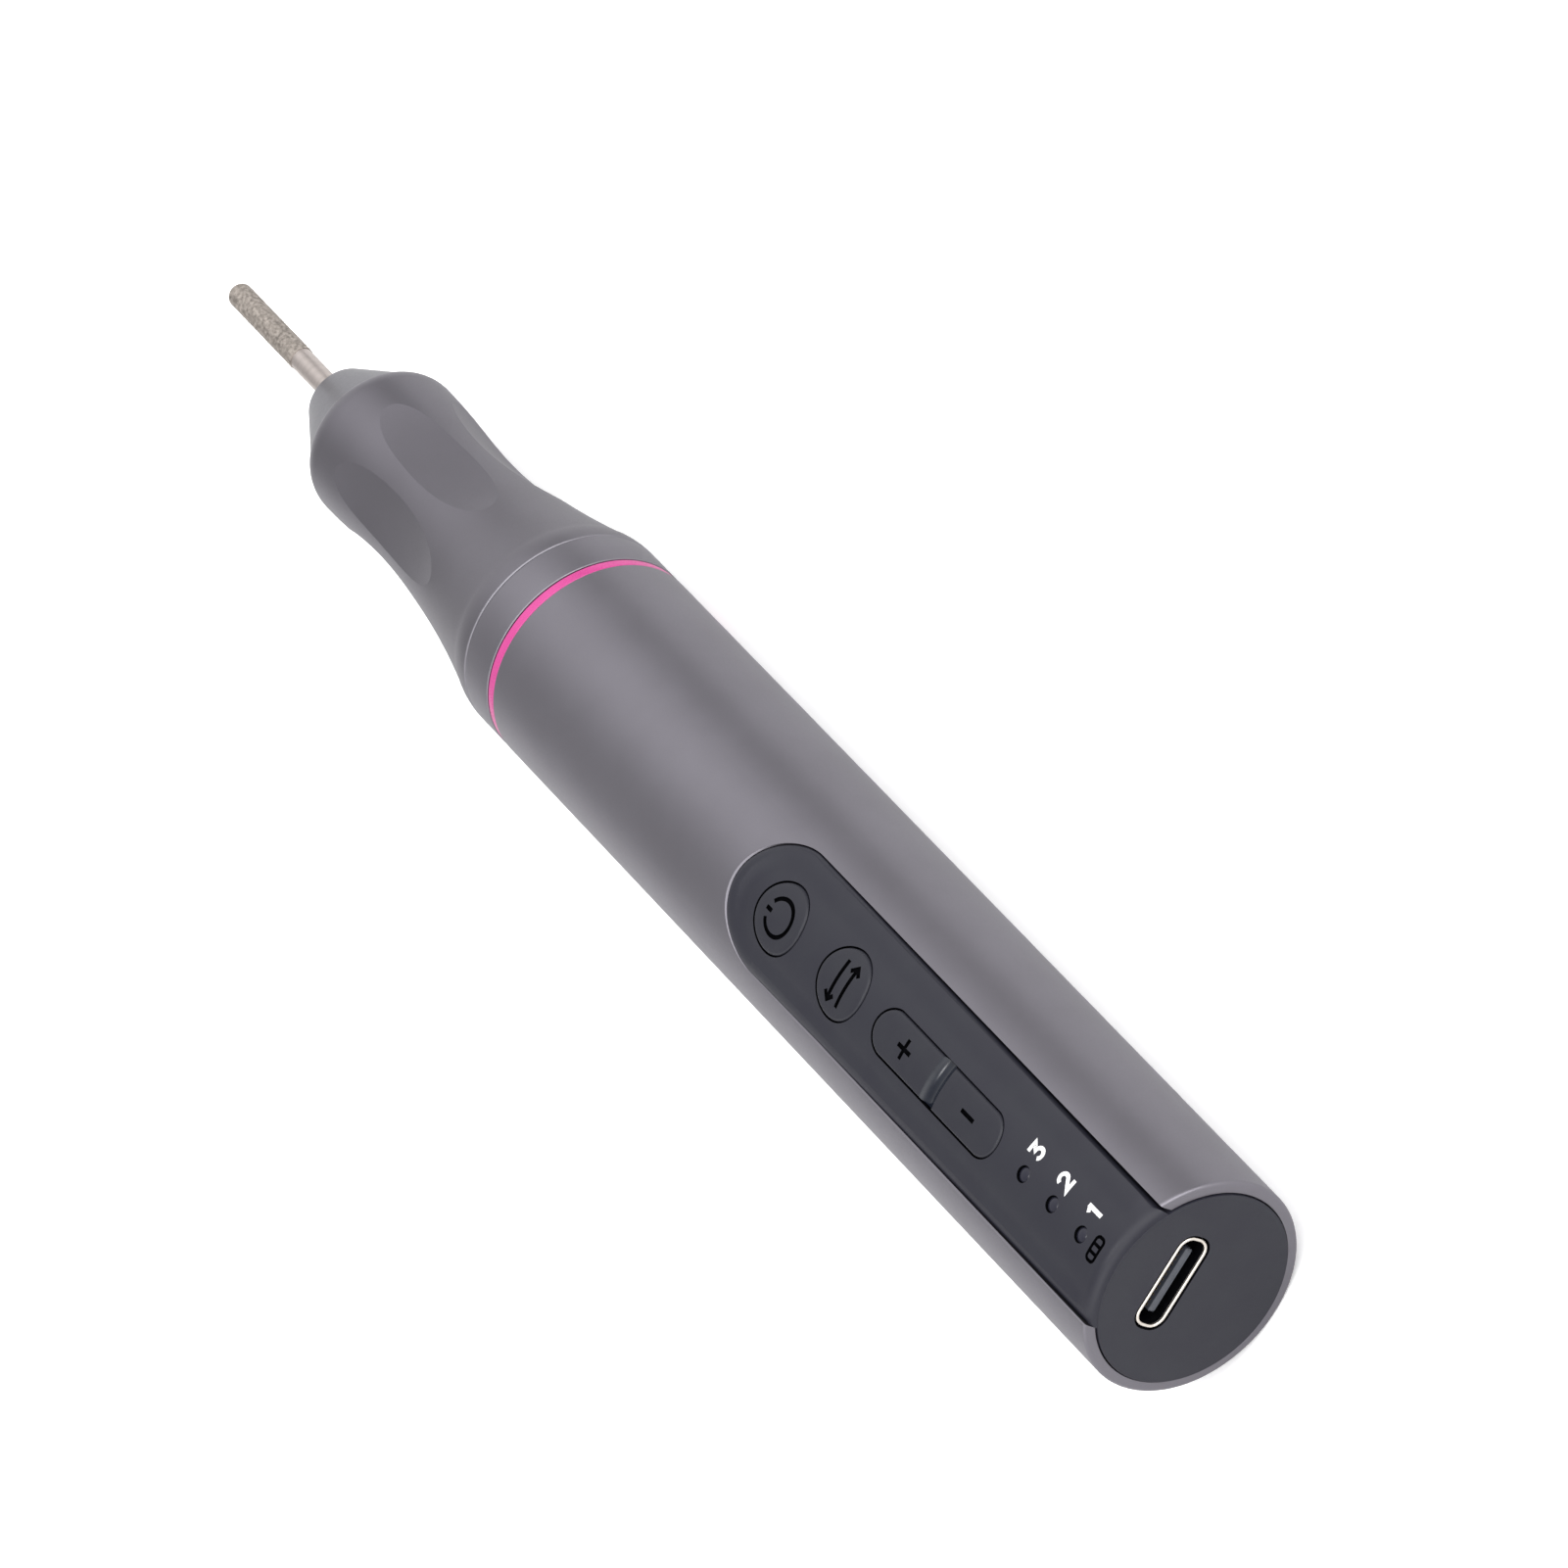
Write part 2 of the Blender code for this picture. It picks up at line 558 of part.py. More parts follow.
def shape_with(target, bm, operation, name):
    """Cut, join or trim a sub-part with a hidden helper solid."""
    helper = add_object(name, bm, parent=target.parent)
    helper.hide_render = True
    helper.display_type = "WIRE"
    modifier = target.modifiers.new(name, "BOOLEAN")
    modifier.operation = operation
    modifier.object = helper
    modifier.solver = "EXACT"
    return helper


def cut(target, bm, name):
    """Take a helper solid away from a sub-part."""
    return shape_with(target, bm, "DIFFERENCE", name)


def join(target, bm, name):
    """Fuse a helper solid to a sub-part."""
    return shape_with(target, bm, "UNION", name)


def trim(target, bm, name):
    """Keep only what lies inside a helper solid."""
    return shape_with(target, bm, "INTERSECT", name)


def drop_under(radius, half_width):
    """Height at which a round ceiling meets a given half width."""
    return math.sqrt(radius**2 - half_width**2)


def light_stations():
    """Stations of the indicator lights, tail first."""
    return [LIGHT_STATION + LIGHT_PITCH * index for index in range(LIGHT_COUNT)]


def make_body_tube(pen, finishes):
    """Drawn tube with a rounded tail rim and the slot of the control panel."""
    rim = min(TUBE_RIM_ROUND, TUBE_WALL)
    corner = (TUBE_START + rim, TUBE_RADIUS - rim)
    outline = [(TUBE_START, TUBE_BORE_RADIUS)]
    outline += arc(corner, rim, math.pi, math.pi / 2, FILLET_STEPS)
    outline += [
        (TUBE_END - TUBE_FRONT_CHAMFER, TUBE_RADIUS),
        (TUBE_END, TUBE_RADIUS - TUBE_FRONT_CHAMFER),
        (TUBE_END, TUBE_BORE_RADIUS),
    ]
    tube_body = add_object("body_tube", turned(outline, FINE_SIDES), finishes["anodised"], pen)
    slot = tongue(-CUT_OVERRUN, PANEL_LENGTH, PANEL_WIDTH / 2)
    cut(tube_body, upright(slot, 0, TUBE_RADIUS + CUT_OVERRUN), "slot_cutter")


def make_control_panel(pen, finishes):
    """One moulding: curved panel, tail cap, guide lips and rocker lugs."""
    corner = (PANEL_TAIL_ROUND, PANEL_RADIUS - PANEL_TAIL_ROUND)
    rough_front = PANEL_FRONT + CUT_OVERRUN
    outline = [(0, 0)]
    outline += arc(corner, PANEL_TAIL_ROUND, math.pi, math.pi / 2, FILLET_STEPS)
    outline += [
        (rough_front, PANEL_RADIUS),
        (rough_front, PANEL_INNER_RADIUS),
        (CAP_SKIRT_LENGTH, PANEL_INNER_RADIUS),
        (CAP_SKIRT_LENGTH, SKIRT_INNER_RADIUS),
        (CAP_WALL, SKIRT_INNER_RADIUS),
        (CAP_WALL, 0),
    ]
    panel = add_object("control_panel", turned(outline, FINE_SIDES), finishes["panel"], pen)

    plug = rod(-CUT_OVERRUN, CAP_SKIRT_LENGTH, PLUG_RADIUS, FINE_SIDES)
    envelope = trim(panel, plug, "plug_envelope")
    panel_outline = tongue(-CUT_OVERRUN, PANEL_FRONT, PANEL_HALF_WIDTH)
    panel_bar = upright(panel_outline, 0, TUBE_RADIUS + CUT_OVERRUN)
    join(envelope, panel_bar, "panel_envelope")

    lip_front = PANEL_FRONT + PANEL_LIP_REACH
    lip_ring = tube(CAP_WALL / 2, lip_front + CUT_OVERRUN, LIP_INNER_RADIUS, LIP_OUTER_RADIUS)
    lip = join(panel, turned(lip_ring, FINE_SIDES), "guide_lip")
    lip_outline = tongue(0, lip_front, PANEL_HALF_WIDTH + PANEL_LIP_REACH)
    trim(lip, upright(lip_outline, BOARD_UNDERSIDE, TUBE_RADIUS), "guide_lip_envelope")

    lug_inner = ROCKER_LIP_HALF_WIDTH + FIT_GAP
    lug_outer = lug_inner + LUG_THICKNESS
    lug_top = drop_under(PANEL_RADIUS - PANEL_THICKNESS / 2, lug_outer)
    for side, word in ((-1, "right"), (1, "left")):
        lug = block(
            ROCKER_STATION - LUG_LENGTH / 2,
            ROCKER_STATION + LUG_LENGTH / 2,
            LUG_THICKNESS / 2,
            PIVOT_RISE - ROCKER_HUB_DEPTH,
            lug_top,
            across=side * (lug_inner + lug_outer) / 2,
        )
        join(panel, lug, f"{word}_lug")
    reach = lug_outer + SEAT_GAP
    pivot = rod(-reach, reach, PIVOT_RADIUS + SEAM_GAP, TINY_SIDES)
    cut(panel, laid_across(pivot, ROCKER_STATION, PIVOT_RISE), "pivot_hole_cutter")

    hole_high = TUBE_RADIUS + CUT_OVERRUN
    for station, word in ((DIRECTION_KEY_STATION, "direction"), (POWER_KEY_STATION, "power")):
        hole = rod(0, hole_high, KEY_HOLE_RADIUS, KEY_SIDES)
        cut(panel, stood_up(hole, station), f"{word}_key_hole_cutter")
    rocker_hole = stadium(ROCKER_STATION, ROCKER_LENGTH / 2, ROCKER_WIDTH / 2)
    cut(panel, upright(rocker_hole, 0, hole_high), "rocker_hole_cutter")
    for index, station in enumerate(light_stations()):
        hole = rod(0, hole_high, LIGHT_HOLE_RADIUS, SMALL_SIDES)
        cut(panel, stood_up(hole, station), f"light_hole_cutter_{index + 1}")
    mouth = stadium(0, SOCKET_WIDTH / 2 + SEAM_GAP, SOCKET_HEIGHT / 2 + SEAM_GAP)
    mouth = [(across, height + SOCKET_RISE) for across, height in mouth]
    cut(panel, lengthwise(mouth, -CUT_OVERRUN, CAP_WALL + CUT_OVERRUN), "socket_cutter")
    for solid in (panel, envelope, lip):
        for step in solid.modifiers:
            step.solver = "MANIFOLD"


def make_charging_socket(pen, finishes):
    """Pressed steel shell of the charging socket and its contact tongue."""
    outer = stadium(0, SOCKET_WIDTH / 2, SOCKET_HEIGHT / 2)
    outer = [(across, height + SOCKET_RISE) for across, height in outer]
    shell = add_object("socket_shell", lengthwise(outer, 0, SOCKET_LENGTH), finishes["steel"], pen)
    inner = stadium(0, SOCKET_WIDTH / 2 - SOCKET_WALL, SOCKET_HEIGHT / 2 - SOCKET_WALL)
    inner = [(across, height + SOCKET_RISE) for across, height in inner]
    cut(shell, lengthwise(inner, -CUT_OVERRUN, SOCKET_LENGTH - SOCKET_BACK), "socket_bore_cutter")
    contact = block(
        TONGUE_SETBACK,
        SOCKET_LENGTH - SOCKET_BACK - SEAM_GAP,
        TONGUE_WIDTH / 2,
        SOCKET_RISE - TONGUE_THICKNESS / 2,
        SOCKET_RISE + TONGUE_THICKNESS / 2,
    )
    add_object("socket_tongue", contact, finishes["chip"], pen)


def make_round_key(name, station, pen, finishes):
    """A round key: curved crown, retaining lip and plunger, sunk in the panel."""
    stem = KEY_HOLE_RADIUS - FIT_GAP
    lip_top = drop_under(LIP_INNER_RADIUS, KEY_LIP_RADIUS) - SEAT_GAP
    lip_bottom = lip_top - KEY_LIP_THICKNESS
    plunger_bottom = SWITCH_TOP + KEY_TRAVEL + CLOSE_GAP / 2
    rough_top = CROWN_RADIUS + CUT_OVERRUN
    outline = [
        (plunger_bottom, 0),
        (plunger_bottom, KEY_PLUNGER_RADIUS),
        (lip_bottom, KEY_PLUNGER_RADIUS),
        (lip_bottom, KEY_LIP_RADIUS),
        (lip_top, KEY_LIP_RADIUS),
        (lip_top, stem),
        (rough_top, stem),
        (rough_top, 0),
    ]
    form = stood_up(turned(outline, KEY_SIDES), station)
    key = add_object(name, form, finishes["key"], pen, origin=(station, 0, CROWN_RADIUS))
    reach = KEY_LIP_RADIUS + CUT_OVERRUN
    crown = rod(station - reach, station + reach, CROWN_RADIUS, FINE_SIDES)
    trim(key, crown, f"{name}_crown")


def make_speed_rocker(pen, finishes):
    """Long rocker with a valley across its middle and a plunger at each end."""
    tilt_rise = ROCKER_LIP_HALF_LENGTH * math.sin(ROCKER_TILT)
    lip_top = drop_under(LIP_INNER_RADIUS, ROCKER_LIP_HALF_WIDTH) - SEAT_GAP - tilt_rise
    lip_bottom = lip_top - KEY_LIP_THICKNESS
    crown_top = CROWN_RADIUS + CUT_OVERRUN
    cap = stadium(ROCKER_STATION, ROCKER_LENGTH / 2 - FIT_GAP, ROCKER_WIDTH / 2 - FIT_GAP)
    rocker = add_object(
        "speed_rocker",
        upright(cap, (lip_top + lip_bottom) / 2, crown_top),
        finishes["key"],
        pen,
        origin=(ROCKER_STATION, 0, PIVOT_RISE),
    )
    lip = stadium(ROCKER_STATION, ROCKER_LIP_HALF_LENGTH, ROCKER_LIP_HALF_WIDTH)
    join(rocker, upright(lip, lip_bottom, lip_top), "rocker_lip")
    hub = block(
        ROCKER_STATION - ROCKER_HUB_LENGTH / 2,
        ROCKER_STATION + ROCKER_HUB_LENGTH / 2,
        ROCKER_WIDTH / 2,
        PIVOT_RISE - ROCKER_HUB_DEPTH,
        (lip_top + lip_bottom) / 2,
    )
    join(rocker, hub, "rocker_hub")
    plunger_drop = ROCKER_PLUNGER_OFFSET * math.sin(ROCKER_TILT)
    plunger_bottom = SWITCH_TOP + plunger_drop + CLOSE_GAP
    for side, word in ((-1, "slower"), (1, "faster")):
        station = ROCKER_STATION + side * ROCKER_PLUNGER_OFFSET
        plunger = rod(plunger_bottom, (lip_top + lip_bottom) / 2, KEY_PLUNGER_RADIUS, TINY_SIDES)
        join(rocker, stood_up(plunger, station), f"{word}_plunger")
    reach = ROCKER_LIP_HALF_LENGTH + CUT_OVERRUN
    crown = rod(ROCKER_STATION - reach, ROCKER_STATION + reach, CROWN_RADIUS, FINE_SIDES)
    trim(rocker, crown, "rocker_crown")
    half_top = ROCKER_VALLEY_WIDTH / 2
    half_floor = half_top * ROCKER_VALLEY_FLOOR_SHARE
    floor = CROWN_RADIUS - ROCKER_VALLEY_DEPTH
    wider = half_top + (half_top - half_floor) * CUT_OVERRUN / ROCKER_VALLEY_DEPTH
    valley = [
        (ROCKER_STATION - half_floor, floor),
        (ROCKER_STATION + half_floor, floor),
        (ROCKER_STATION + wider, CROWN_RADIUS + CUT_OVERRUN),
        (ROCKER_STATION - wider, CROWN_RADIUS + CUT_OVERRUN),
    ]
    cut(rocker, crosswise(valley, -ROCKER_WIDTH, ROCKER_WIDTH), "valley_cutter")
    bore = rod(-ROCKER_WIDTH, ROCKER_WIDTH, PIVOT_RADIUS + SEAM_GAP, TINY_SIDES)
    cut(rocker, laid_across(bore, ROCKER_STATION, PIVOT_RISE), "rocker_bore_cutter")

    pin_reach = ROCKER_LIP_HALF_WIDTH + FIT_GAP + LUG_THICKNESS
    pin = laid_across(rod(-pin_reach, pin_reach, PIVOT_RADIUS, TINY_SIDES), ROCKER_STATION, PIVOT_RISE)
    add_object("rocker_pin", pin, finishes["steel"], pen)


def make_indicator_lights(pen, finishes):
    """Light pipe with a lens for each light, over chip lamps on the board."""
    stations = light_stations()
    half_width = LIGHT_BAR_WIDTH / 2
    bar_top = drop_under(SKIRT_INNER_RADIUS, half_width) - SEAT_GAP
    bar_bottom = bar_top - LIGHT_BAR_THICKNESS
    rear = stations[0] - LIGHT_BAR_MARGIN
    front = stations[-1] + LIGHT_BAR_MARGIN
    pipe = add_object(
        "light_pipe", block(rear, front, half_width, bar_bottom, bar_top), finishes["clear"], pen
    )
    lamp_top = PART_SEAT + LED_HEIGHT
    for index, station in enumerate(stations):
        lens_top = PANEL_RADIUS - LIGHT_SETBACK
        lens = rod(lamp_top + SEAT_GAP, lens_top, LIGHT_HOLE_RADIUS - SEAM_GAP, SMALL_SIDES)
        join(pipe, stood_up(lens, station), f"lens_{index + 1}")
        half = LED_LENGTH / 2
        lamp = block(station - half, station + half, LED_WIDTH / 2, PART_SEAT, lamp_top)
        add_object(f"indicator_led_{index + 1}", lamp, finishes["white"], pen)


def make_tact_switch(name, station, pen, finishes):
    """A low tact switch: square body and round stem."""
    half = SWITCH_SIDE / 2
    body_top = PART_SEAT + SWITCH_HEIGHT
    body = block(station - half, station + half, half, PART_SEAT, body_top)
    switch = add_object(name, body, finishes["zinc"], pen)
    stem = rod(PART_SEAT + SWITCH_HEIGHT / 2, SWITCH_TOP, SWITCH_STEM_RADIUS, TINY_SIDES)
    join(switch, stood_up(stem, station), f"{name}_stem")


def make_control_board(pen, finishes):
    """Circuit board with its switches, chips and fixing screw."""
    rear = CAP_WALL + SEAT_GAP
    half_width = drop_under(SKIRT_INNER_RADIUS, BOARD_TOP) - BOARD_EDGE_GAP
    board_body = block(rear, BOARD_END, half_width, BOARD_UNDERSIDE, BOARD_TOP)
    board = add_object("control_board", board_body, finishes["board"], pen)
    hole_radius = BOARD_SCREW_RADIUS + SEAM_GAP
    low = BOARD_UNDERSIDE - CUT_OVERRUN
    hole = rod(low, BOARD_TOP + CUT_OVERRUN, hole_radius, TINY_SIDES)
    cut(board, stood_up(hole, BOARD_SCREW_STATION), "board_hole_cutter")

    screw_outline = [
        (PART_SEAT - BOARD_SCREW_LENGTH, 0),
        (PART_SEAT - BOARD_SCREW_LENGTH, BOARD_SCREW_RADIUS),
        (PART_SEAT, BOARD_SCREW_RADIUS),
        (PART_SEAT, BOARD_SCREW_HEAD_RADIUS),
        (PART_SEAT + BOARD_SCREW_HEAD_HEIGHT, BOARD_SCREW_HEAD_RADIUS),
        (PART_SEAT + BOARD_SCREW_HEAD_HEIGHT, 0),
    ]
    screw = stood_up(turned(screw_outline, TINY_SIDES), BOARD_SCREW_STATION)
    add_object("board_screw", screw, finishes["steel"], pen)

    make_tact_switch("direction_switch", DIRECTION_KEY_STATION, pen, finishes)
    make_tact_switch("power_switch", POWER_KEY_STATION, pen, finishes)
    make_tact_switch("slower_switch", ROCKER_STATION - ROCKER_PLUNGER_OFFSET, pen, finishes)
    make_tact_switch("faster_switch", ROCKER_STATION + ROCKER_PLUNGER_OFFSET, pen, finishes)

    reach = LED_LENGTH / 2 + FIT_GAP
    stations = light_stations()
    for name, after in (("charge_chip", 0), ("controller_chip", 1)):
        rear = stations[after] + reach
        front = stations[after + 1] - reach
        chip = block(rear, front, CHIP_WIDTH / 2, PART_SEAT, PART_SEAT + CHIP_HEIGHT)
        add_object(name, chip, finishes["chip"], pen)


def make_battery(pen, finishes):
    """Cylindrical cell with its two nickel tabs."""
    shoulder = CELL_END - CELL_STUD_HEIGHT
    outline = [(CELL_STATION, 0)]
    outline += arc(
        (CELL_STATION + CELL_END_ROUND, CELL_RADIUS - CELL_END_ROUND),
        CELL_END_ROUND,
        math.pi,
        math.pi / 2,
        1,
    )
    outline += arc(
        (shoulder - CELL_END_ROUND, CELL_RADIUS - CELL_END_ROUND),
        CELL_END_ROUND,
        math.pi / 2,
        0,
        1,
    )
    outline += [(shoulder, CELL_STUD_RADIUS), (CELL_END, CELL_STUD_RADIUS), (CELL_END, 0)]
    cell = turned(outline, INNER_SIDES)
    bmesh.ops.translate(cell, verts=cell.verts, vec=(0, 0, -CELL_DROP))
    add_object("battery_cell", cell, finishes["wrap"], pen)
    low = -CELL_DROP - CELL_STUD_RADIUS
    for name, rear in (
        ("battery_tab_rear", CELL_STATION - FIT_GAP - TAB_THICKNESS),
        ("battery_tab_front", CELL_END + FIT_GAP),
    ):
        tab = block(rear, rear + TAB_THICKNESS, TAB_WIDTH / 2, low, CRADLE_TOP)
        add_object(name, tab, finishes["nickel"], pen)


def make_battery_cradle(pen, finishes):
    """Cradle: two bulkheads and two windowed cheeks that hug the cell."""
    solid = rod(CRADLE_START, CRADLE_END, LIP_OUTER_RADIUS, FINE_SIDES)
    cradle = add_object("battery_cradle", solid, finishes["cradle"], pen)
    over = LIP_OUTER_RADIUS + CUT_OVERRUN
    above = block(CRADLE_START - CUT_OVERRUN, CRADLE_END + CUT_OVERRUN, over, CRADLE_TOP, over)
    cut(cradle, above, "cradle_top_cutter")
    pocket_radius = CELL_RADIUS + FIT_GAP
    pocket_rear = CELL_STATION - CELL_ROOM
    pocket_front = CELL_END + CELL_ROOM
    pocket = rod(pocket_rear, pocket_front, pocket_radius, INNER_SIDES)
    bmesh.ops.translate(pocket, verts=pocket.verts, vec=(0, 0, -CELL_DROP))
    cut(cradle, pocket, "cell_pocket_cutter")
    upper = block(pocket_rear, pocket_front, pocket_radius - CRADLE_TOP_WRAP, 0, over)
    cut(cradle, upper, "cradle_upper_cutter")
    lower = block(pocket_rear, pocket_front, pocket_radius - CRADLE_UNDER_WRAP, -over, -CELL_DROP)
    cut(cradle, lower, "cradle_lower_cutter")
    pitch = CELL_LENGTH / CRADLE_WINDOWS
    half_length = (pitch - CRADLE_POST_WIDTH) / 2
    window_low = -CELL_DROP - CRADLE_WINDOW_HEIGHT / 2
    window_high = window_low + CRADLE_WINDOW_HEIGHT
    for index in range(CRADLE_WINDOWS):
        middle = CELL_STATION + pitch * index + pitch / 2
        window = block(middle - half_length, middle + half_length, over, window_low, window_high)
        cut(cradle, window, f"cradle_window_cutter_{index + 1}")
    shelf = block(
        CRADLE_END - CRADLE_BULKHEAD / 2,
        BOARD_END,
        CRADLE_SHELF_WIDTH / 2,
        CRADLE_TOP - CRADLE_SHELF_DEPTH,
        CRADLE_TOP - CLOSE_GAP,
    )
    join(cradle, shelf, "screw_shelf")
    hole_low = CRADLE_TOP - CRADLE_SHELF_DEPTH - CUT_OVERRUN
    hole = rod(hole_low, CRADLE_TOP + CUT_OVERRUN, BOARD_SCREW_RADIUS + SEAM_GAP, TINY_SIDES)
    cut(cradle, stood_up(hole, BOARD_SCREW_STATION), "shelf_hole_cutter")


def pole_outline():
    """Three-pole lamination: wide arcs at the rim on narrow necks."""
    centre = (0, 0)
    sector = math.pi / ARMATURE_POLES
    rim = sector * POLE_RIM_SHARE
    neck = sector * POLE_NECK_SHARE
    crown_radius = ARMATURE_RADIUS * POLE_CROWN_SHARE
    root_radius = ARMATURE_RADIUS * POLE_ROOT_SHARE
    points = []
    for pole in range(ARMATURE_POLES):
        middle = 2 * sector * pole + math.pi / 2
        following = middle + 2 * sector
        points += arc(centre, ARMATURE_RADIUS, middle - rim, middle + rim, ROUND_END_STEPS // 2)
        points += arc(centre, crown_radius, middle + rim, middle + neck, 1)
        points += arc(centre, root_radius, middle + neck, following - neck, 2)
        points += arc(centre, crown_radius, following - neck, following - rim, 1)
    return points


def make_motor(pen, finishes):
    """Brushed motor: can, end bell, magnets, armature, commutator and shaft."""
    inner = MOTOR_RADIUS - MOTOR_CAN_WALL
    shaft_hole = MOTOR_SHAFT_RADIUS + FIT_GAP
    can = [
        (MOTOR_STATION, inner),
        (MOTOR_STATION, MOTOR_RADIUS),
        (MOTOR_END, MOTOR_RADIUS),
        (MOTOR_END, MOTOR_BOSS_RADIUS),
        (MOTOR_BOSS_END, MOTOR_BOSS_RADIUS),
        (MOTOR_BOSS_END, shaft_hole),
        (MOTOR_END - MOTOR_CAN_WALL, shaft_hole),
        (MOTOR_END - MOTOR_CAN_WALL, inner),
    ]
    add_object("motor_can", turned(can, INNER_SIDES), finishes["zinc"], pen)

    flange_end = MOTOR_STATION - SEAM_GAP
    bell_start = flange_end - END_BELL_FLANGE
    plug_end = MOTOR_STATION + END_BELL_PLUG
    bell = [
        (bell_start, 0),
        (bell_start, MOTOR_RADIUS - FIT_GAP),
        (flange_end, MOTOR_RADIUS - FIT_GAP),
        (flange_end, inner - FIT_GAP),
        (plug_end, inner - FIT_GAP),
        (plug_end, shaft_hole),
        (flange_end, shaft_hole),
        (flange_end, 0),
    ]
    add_object("motor_end_bell", turned(bell, INNER_SIDES), finishes["nylon"], pen)

    middle = (MOTOR_STATION + MOTOR_END + END_BELL_PLUG) / 2
    magnet_inner = MAGNET_RADIUS - MAGNET_THICKNESS
    for word, facing in (("upper", math.pi / 2), ("lower", -math.pi / 2)):
        low = facing - MAGNET_HALF_ANGLE
        high = facing + MAGNET_HALF_ANGLE
        section = arc((0, 0), MAGNET_RADIUS, low, high, ROUND_END_STEPS)
        section += arc((0, 0), magnet_inner, high, low, ROUND_END_STEPS)
        magnet = lengthwise(section, middle - MAGNET_LENGTH / 2, middle + MAGNET_LENGTH / 2)
        add_object(f"motor_magnet_{word}", magnet, finishes["ferrite"], pen)

    core_rear = middle - ARMATURE_LENGTH / 2
    core_front = middle + ARMATURE_LENGTH / 2
    core = lengthwise(pole_outline(), core_rear, core_front)
    armature = add_object("motor_armature", core, finishes["copper"], pen, origin=(middle, 0, 0))
    bore_radius = MOTOR_SHAFT_RADIUS + SEAM_GAP
    bore = rod(core_rear - CUT_OVERRUN, core_front + CUT_OVERRUN, bore_radius, SMALL_SIDES)
    cut(armature, bore, "armature_bore_cutter")
    commutator = tube(
        core_rear - FIT_GAP - COMMUTATOR_LENGTH, core_rear - FIT_GAP, bore_radius, COMMUTATOR_RADIUS
    )
    commutator_form = turned(commutator, SMALL_SIDES)
    add_object("motor_commutator", commutator_form, finishes["copper"], pen, origin=(core_rear, 0, 0))
    shaft = rod(MOTOR_STATION, MOTOR_SHAFT_END, MOTOR_SHAFT_RADIUS, SMALL_SIDES)
    add_object("motor_shaft", shaft, finishes["steel"], pen, origin=(MOTOR_STATION, 0, 0))

    damper = tube(
        middle - DAMPER_LENGTH / 2, middle + DAMPER_LENGTH / 2, MOTOR_RADIUS + FIT_GAP, PLUG_RADIUS
    )
    add_object("motor_damper", turned(damper, INNER_SIDES), finishes["rubber"], pen)

    for side, word, colour in ((1, "left", "red"), (-1, "right", "black")):
        front = bell_start - CLOSE_GAP
        rear = front - TERMINAL_LENGTH
        terminal = block(
            rear,
            front,
            TERMINAL_THICKNESS / 2,
            -TERMINAL_DROP - TERMINAL_WIDTH / 2,
            -TERMINAL_DROP + TERMINAL_WIDTH / 2,
            across=side * TERMINAL_SPREAD,
        )
        add_object(f"motor_terminal_{word}", terminal, finishes["brass"], pen)
        make_lead(f"motor_lead_{colour}", side, (rear + front) / 2, finishes[colour], pen)


def make_lead(name, side, station, material, pen):
    """Insulated lead from the underside of the board to a motor terminal."""
    across = side * TERMINAL_SPREAD
    top = BOARD_UNDERSIDE - SEAM_GAP
    bottom = -TERMINAL_DROP + TERMINAL_WIDTH / 2 + SEAM_GAP
    curve = bpy.data.curves.new(name, "CURVE")
    curve.dimensions = "3D"
    curve.bevel_depth = LEAD_RADIUS
    curve.bevel_resolution = 2
    curve.use_fill_caps = True
    spline = curve.splines.new("POLY")
    spline.points.add(LEAD_STEPS)
    for step, point in enumerate(spline.points):
        share = step / LEAD_STEPS
        slack = LEAD_SLACK * math.sin(math.pi * share)
        inset = LEAD_INSET * (1 - share) ** 2
        point.co = (station - inset - slack, across, top + (bottom - top) * share, 1)
    curve.materials.append(material)
    lead = bpy.data.objects.new(name, curve)
    lead.parent = pen
    bpy.context.collection.objects.link(lead)


def make_accent_ring(pen, finishes):
    """Coloured trim ring between the tube and the collar."""
    outline = tube(RING_START, RING_END, PLUG_RADIUS + SEAM_GAP, TUBE_RADIUS - RING_SETBACK)
    add_object("accent_ring", turned(outline, FINE_SIDES), finishes["accent"], pen)


def make_coupling_collar(pen, finishes):
    """Collar that joins the tube to the grip, with a spigot each way."""
    outline = [
        (TUBE_END - COLLAR_REAR_SPIGOT, COLLAR_BORE_RADIUS),
        (TUBE_END - COLLAR_REAR_SPIGOT, PLUG_RADIUS),
        (COLLAR_START, PLUG_RADIUS),
        (COLLAR_START, COLLAR_RADIUS - COLLAR_CHAMFER),
        (COLLAR_START + COLLAR_CHAMFER, COLLAR_RADIUS),
        (COLLAR_END - COLLAR_CHAMFER, COLLAR_RADIUS),
        (COLLAR_END, COLLAR_RADIUS - COLLAR_CHAMFER),
        (COLLAR_END, COLLAR_FRONT_SPIGOT_RADIUS),
        (COLLAR_SPIGOT_END, COLLAR_FRONT_SPIGOT_RADIUS),
        (COLLAR_SPIGOT_END, COLLAR_BORE_RADIUS),
    ]
    add_object("coupling_collar", turned(outline, FINE_SIDES), finishes["anodised"], pen)


